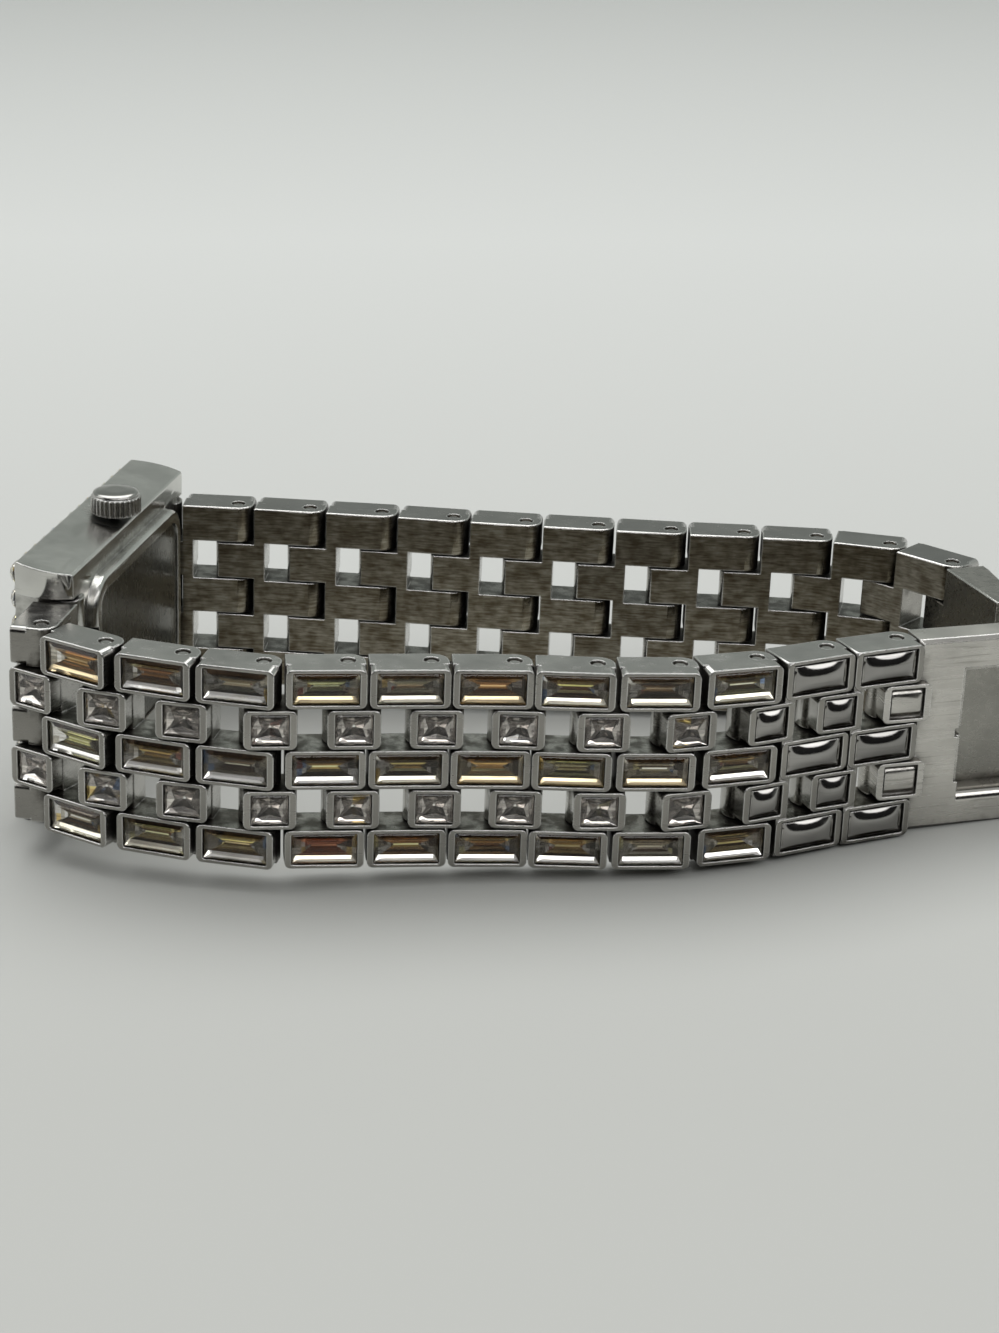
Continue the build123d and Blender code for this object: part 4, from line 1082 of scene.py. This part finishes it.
def wheel(radius, odd_share=1.0):
    """A ring of sixteen points, of which every second one may lie further in."""
    points = []
    for i in range(ROUND_SIDES):
        reach = radius * (odd_share if i % 2 else 1.0)
        angle = math.tau * i / ROUND_SIDES
        points.append((reach * math.cos(angle), reach * math.sin(angle)))
    return points


def round_rings():
    """Brilliant cut: table, two crown steps, girdle, pavilion and culet."""
    return [
        (BEZEL_TOP, wheel(ROUND_RADIUS * 0.55, 0.93), True),
        (BEZEL_TOP - 0.2, wheel(ROUND_RADIUS * 0.84, 0.97), True),
        (BEZEL_TOP - 0.36, wheel(ROUND_RADIUS), True),
        (BEZEL_TOP - 0.42, wheel(ROUND_RADIUS), False),
        (BEZEL_TOP - 0.8, wheel(ROUND_RADIUS * 0.42, 0.8), False),
        (BEZEL_TOP - 1.05, wheel(0.04), False),
    ]


def case_frame():
    """Local frame of the case: X along it, Y towards the dial, Z up from its middle."""
    turn = Matrix((case_way, dial_way, case_way.cross(dial_way))).transposed().to_4x4()
    return Matrix.Translation(case_centre() + Vector((0, 0, CASE_WIDTH / 2 * MM))) @ turn


def bead_places(places):
    """Two beads between every two neighbouring stones, but none past the bezel's corners."""
    length, width = CASE_LENGTH - BEZEL_WIDTH, CASE_WIDTH - BEZEL_WIDTH
    closest, furthest = NEIGHBOURS
    spots = []
    for x, z in places:
        for other_x, other_z in places:
            if not closest < math.dist((other_x, other_z), (x, z)) < furthest:
                continue
            if (other_x, other_z) < (x, z):
                continue
            middle = Vector(((x + other_x) / 2, BEZEL_FACE + BEAD_RISE, (z + other_z) / 2))
            for sign in (-1, 1):
                aside = Vector((other_z - z, 0, x - other_x)).normalized() * sign * BEAD_ASIDE
                spot = middle + aside
                inside = abs(spot.x) <= length / 2 + BEAD_MARGIN
                if inside and abs(spot.z) <= width / 2 + BEAD_MARGIN:
                    spots.append(spot)
    return spots


def set_bezel():
    """The ring of stones and the beads between them."""
    chance = random.Random("bezel")

    def tint_and_light_of(level, side):
        return chance.choice(ROUND_TINTS_AND_GLINTS)

    stones, beads = bmesh.new(), bmesh.new()
    stones.loops.layers.float_color.new("facet_tint_and_light")
    places = bezel_places()
    for x, z in places:
        place = case_frame() @ Matrix.Translation((x * MM, 0, z * MM))
        stack(stones, round_rings(), place, tint_and_light_of)
    for spot in bead_places(places):
        place = case_frame() @ Matrix.Translation(spot * MM)
        bmesh.ops.create_icosphere(beads, subdivisions=2, radius=BEAD_RADIUS * MM, matrix=place)
    for face in beads.faces:
        face.smooth = True
    crystals = finish_mesh(stones, "bezel_crystals", [stone_glass, stone_foil])
    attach(crystals, "case")
    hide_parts("bezel_stones")
    prongs = finish_mesh(beads, "bezel_beads", [polished])
    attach(prongs, "case")
    print(len(places), "round stones on the bezel")


set_bezel()

# %% [markdown]
# ## The crown
# The crown is pulled and turned between two fingertips, so its side is cut into fine upright ribs,
# right up to a smooth cap. Here rings of points lie one over another, and on the ribbed rings the
# radius goes in and out thirty times. A cylinder with thirty cuts would do as well, but one loop keeps
# the ribs even. The first two rings are the bore from below, which the winding stem sits in.

# %% The ribbed crown
CROWN_RIBS = 30
RIB_STEPS = 6
RIB_DEPTH = 0.18
CROWN_TALL = 1.85
CROWN_BORE = (0.5, 1.56)
# Each ring of the outside is (radius, height, whether it is ribbed), from the foot up.
CROWN_RINGS = [(1.5, 0.0, False), (1.5, 0.14, False), (1.98, 0.17, False), (2.04, 0.23, True),
               (2.04, 1.36, True), (1.96, 1.43, False), (1.89, 1.45, False), (1.89, 1.58, False),
               (1.8, 1.7, False), (1.5, 1.78, False), (0.8, 1.84, False)]
# The cap is smooth from this ring up, counted with the two rings of the bore.
CAP_LEVEL = 9


def set_crown():
    """Rings of points from the foot of the crown to its cap."""
    low, high = (Vector(corner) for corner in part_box("crown"))
    centre = (low + high) / 2
    stretch = (high.z - low.z) / (CROWN_TALL * MM)
    count = CROWN_RIBS * RIB_STEPS
    mesh = bmesh.new()
    rings = []
    bore_radius, bore_depth = CROWN_BORE
    bore = [(bore_radius, bore_depth / stretch, False), (bore_radius, 0.0, False)]
    for radius, height, ribbed in bore + CROWN_RINGS:
        ring = []
        for step in range(count):
            turn = math.tau * step / count
            depth = RIB_DEPTH * (0.5 - 0.5 * math.cos(turn * CROWN_RIBS)) if ribbed else 0
            out = (radius - depth) * MM
            x, y = centre.x + out * math.cos(turn), centre.y + out * math.sin(turn)
            ring.append(mesh.verts.new((x, y, low.z + height * MM * stretch)))
        rings.append(ring)
    for level, (below, above) in enumerate(zip(rings, rings[1:])):
        for step in range(count):
            after = (step + 1) % count
            face = mesh.faces.new((below[step], below[after], above[after], above[step]))
            face.smooth = level >= CAP_LEVEL
    mesh.faces.new(list(reversed(rings[0])))
    mesh.faces.new(rings[-1])
    piece = finish_mesh(mesh, "ribbed_crown", [crown_steel])
    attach(piece, "crown")
    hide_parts("crown")
    print("crown with", CROWN_RIBS, "ribs")


set_crown()
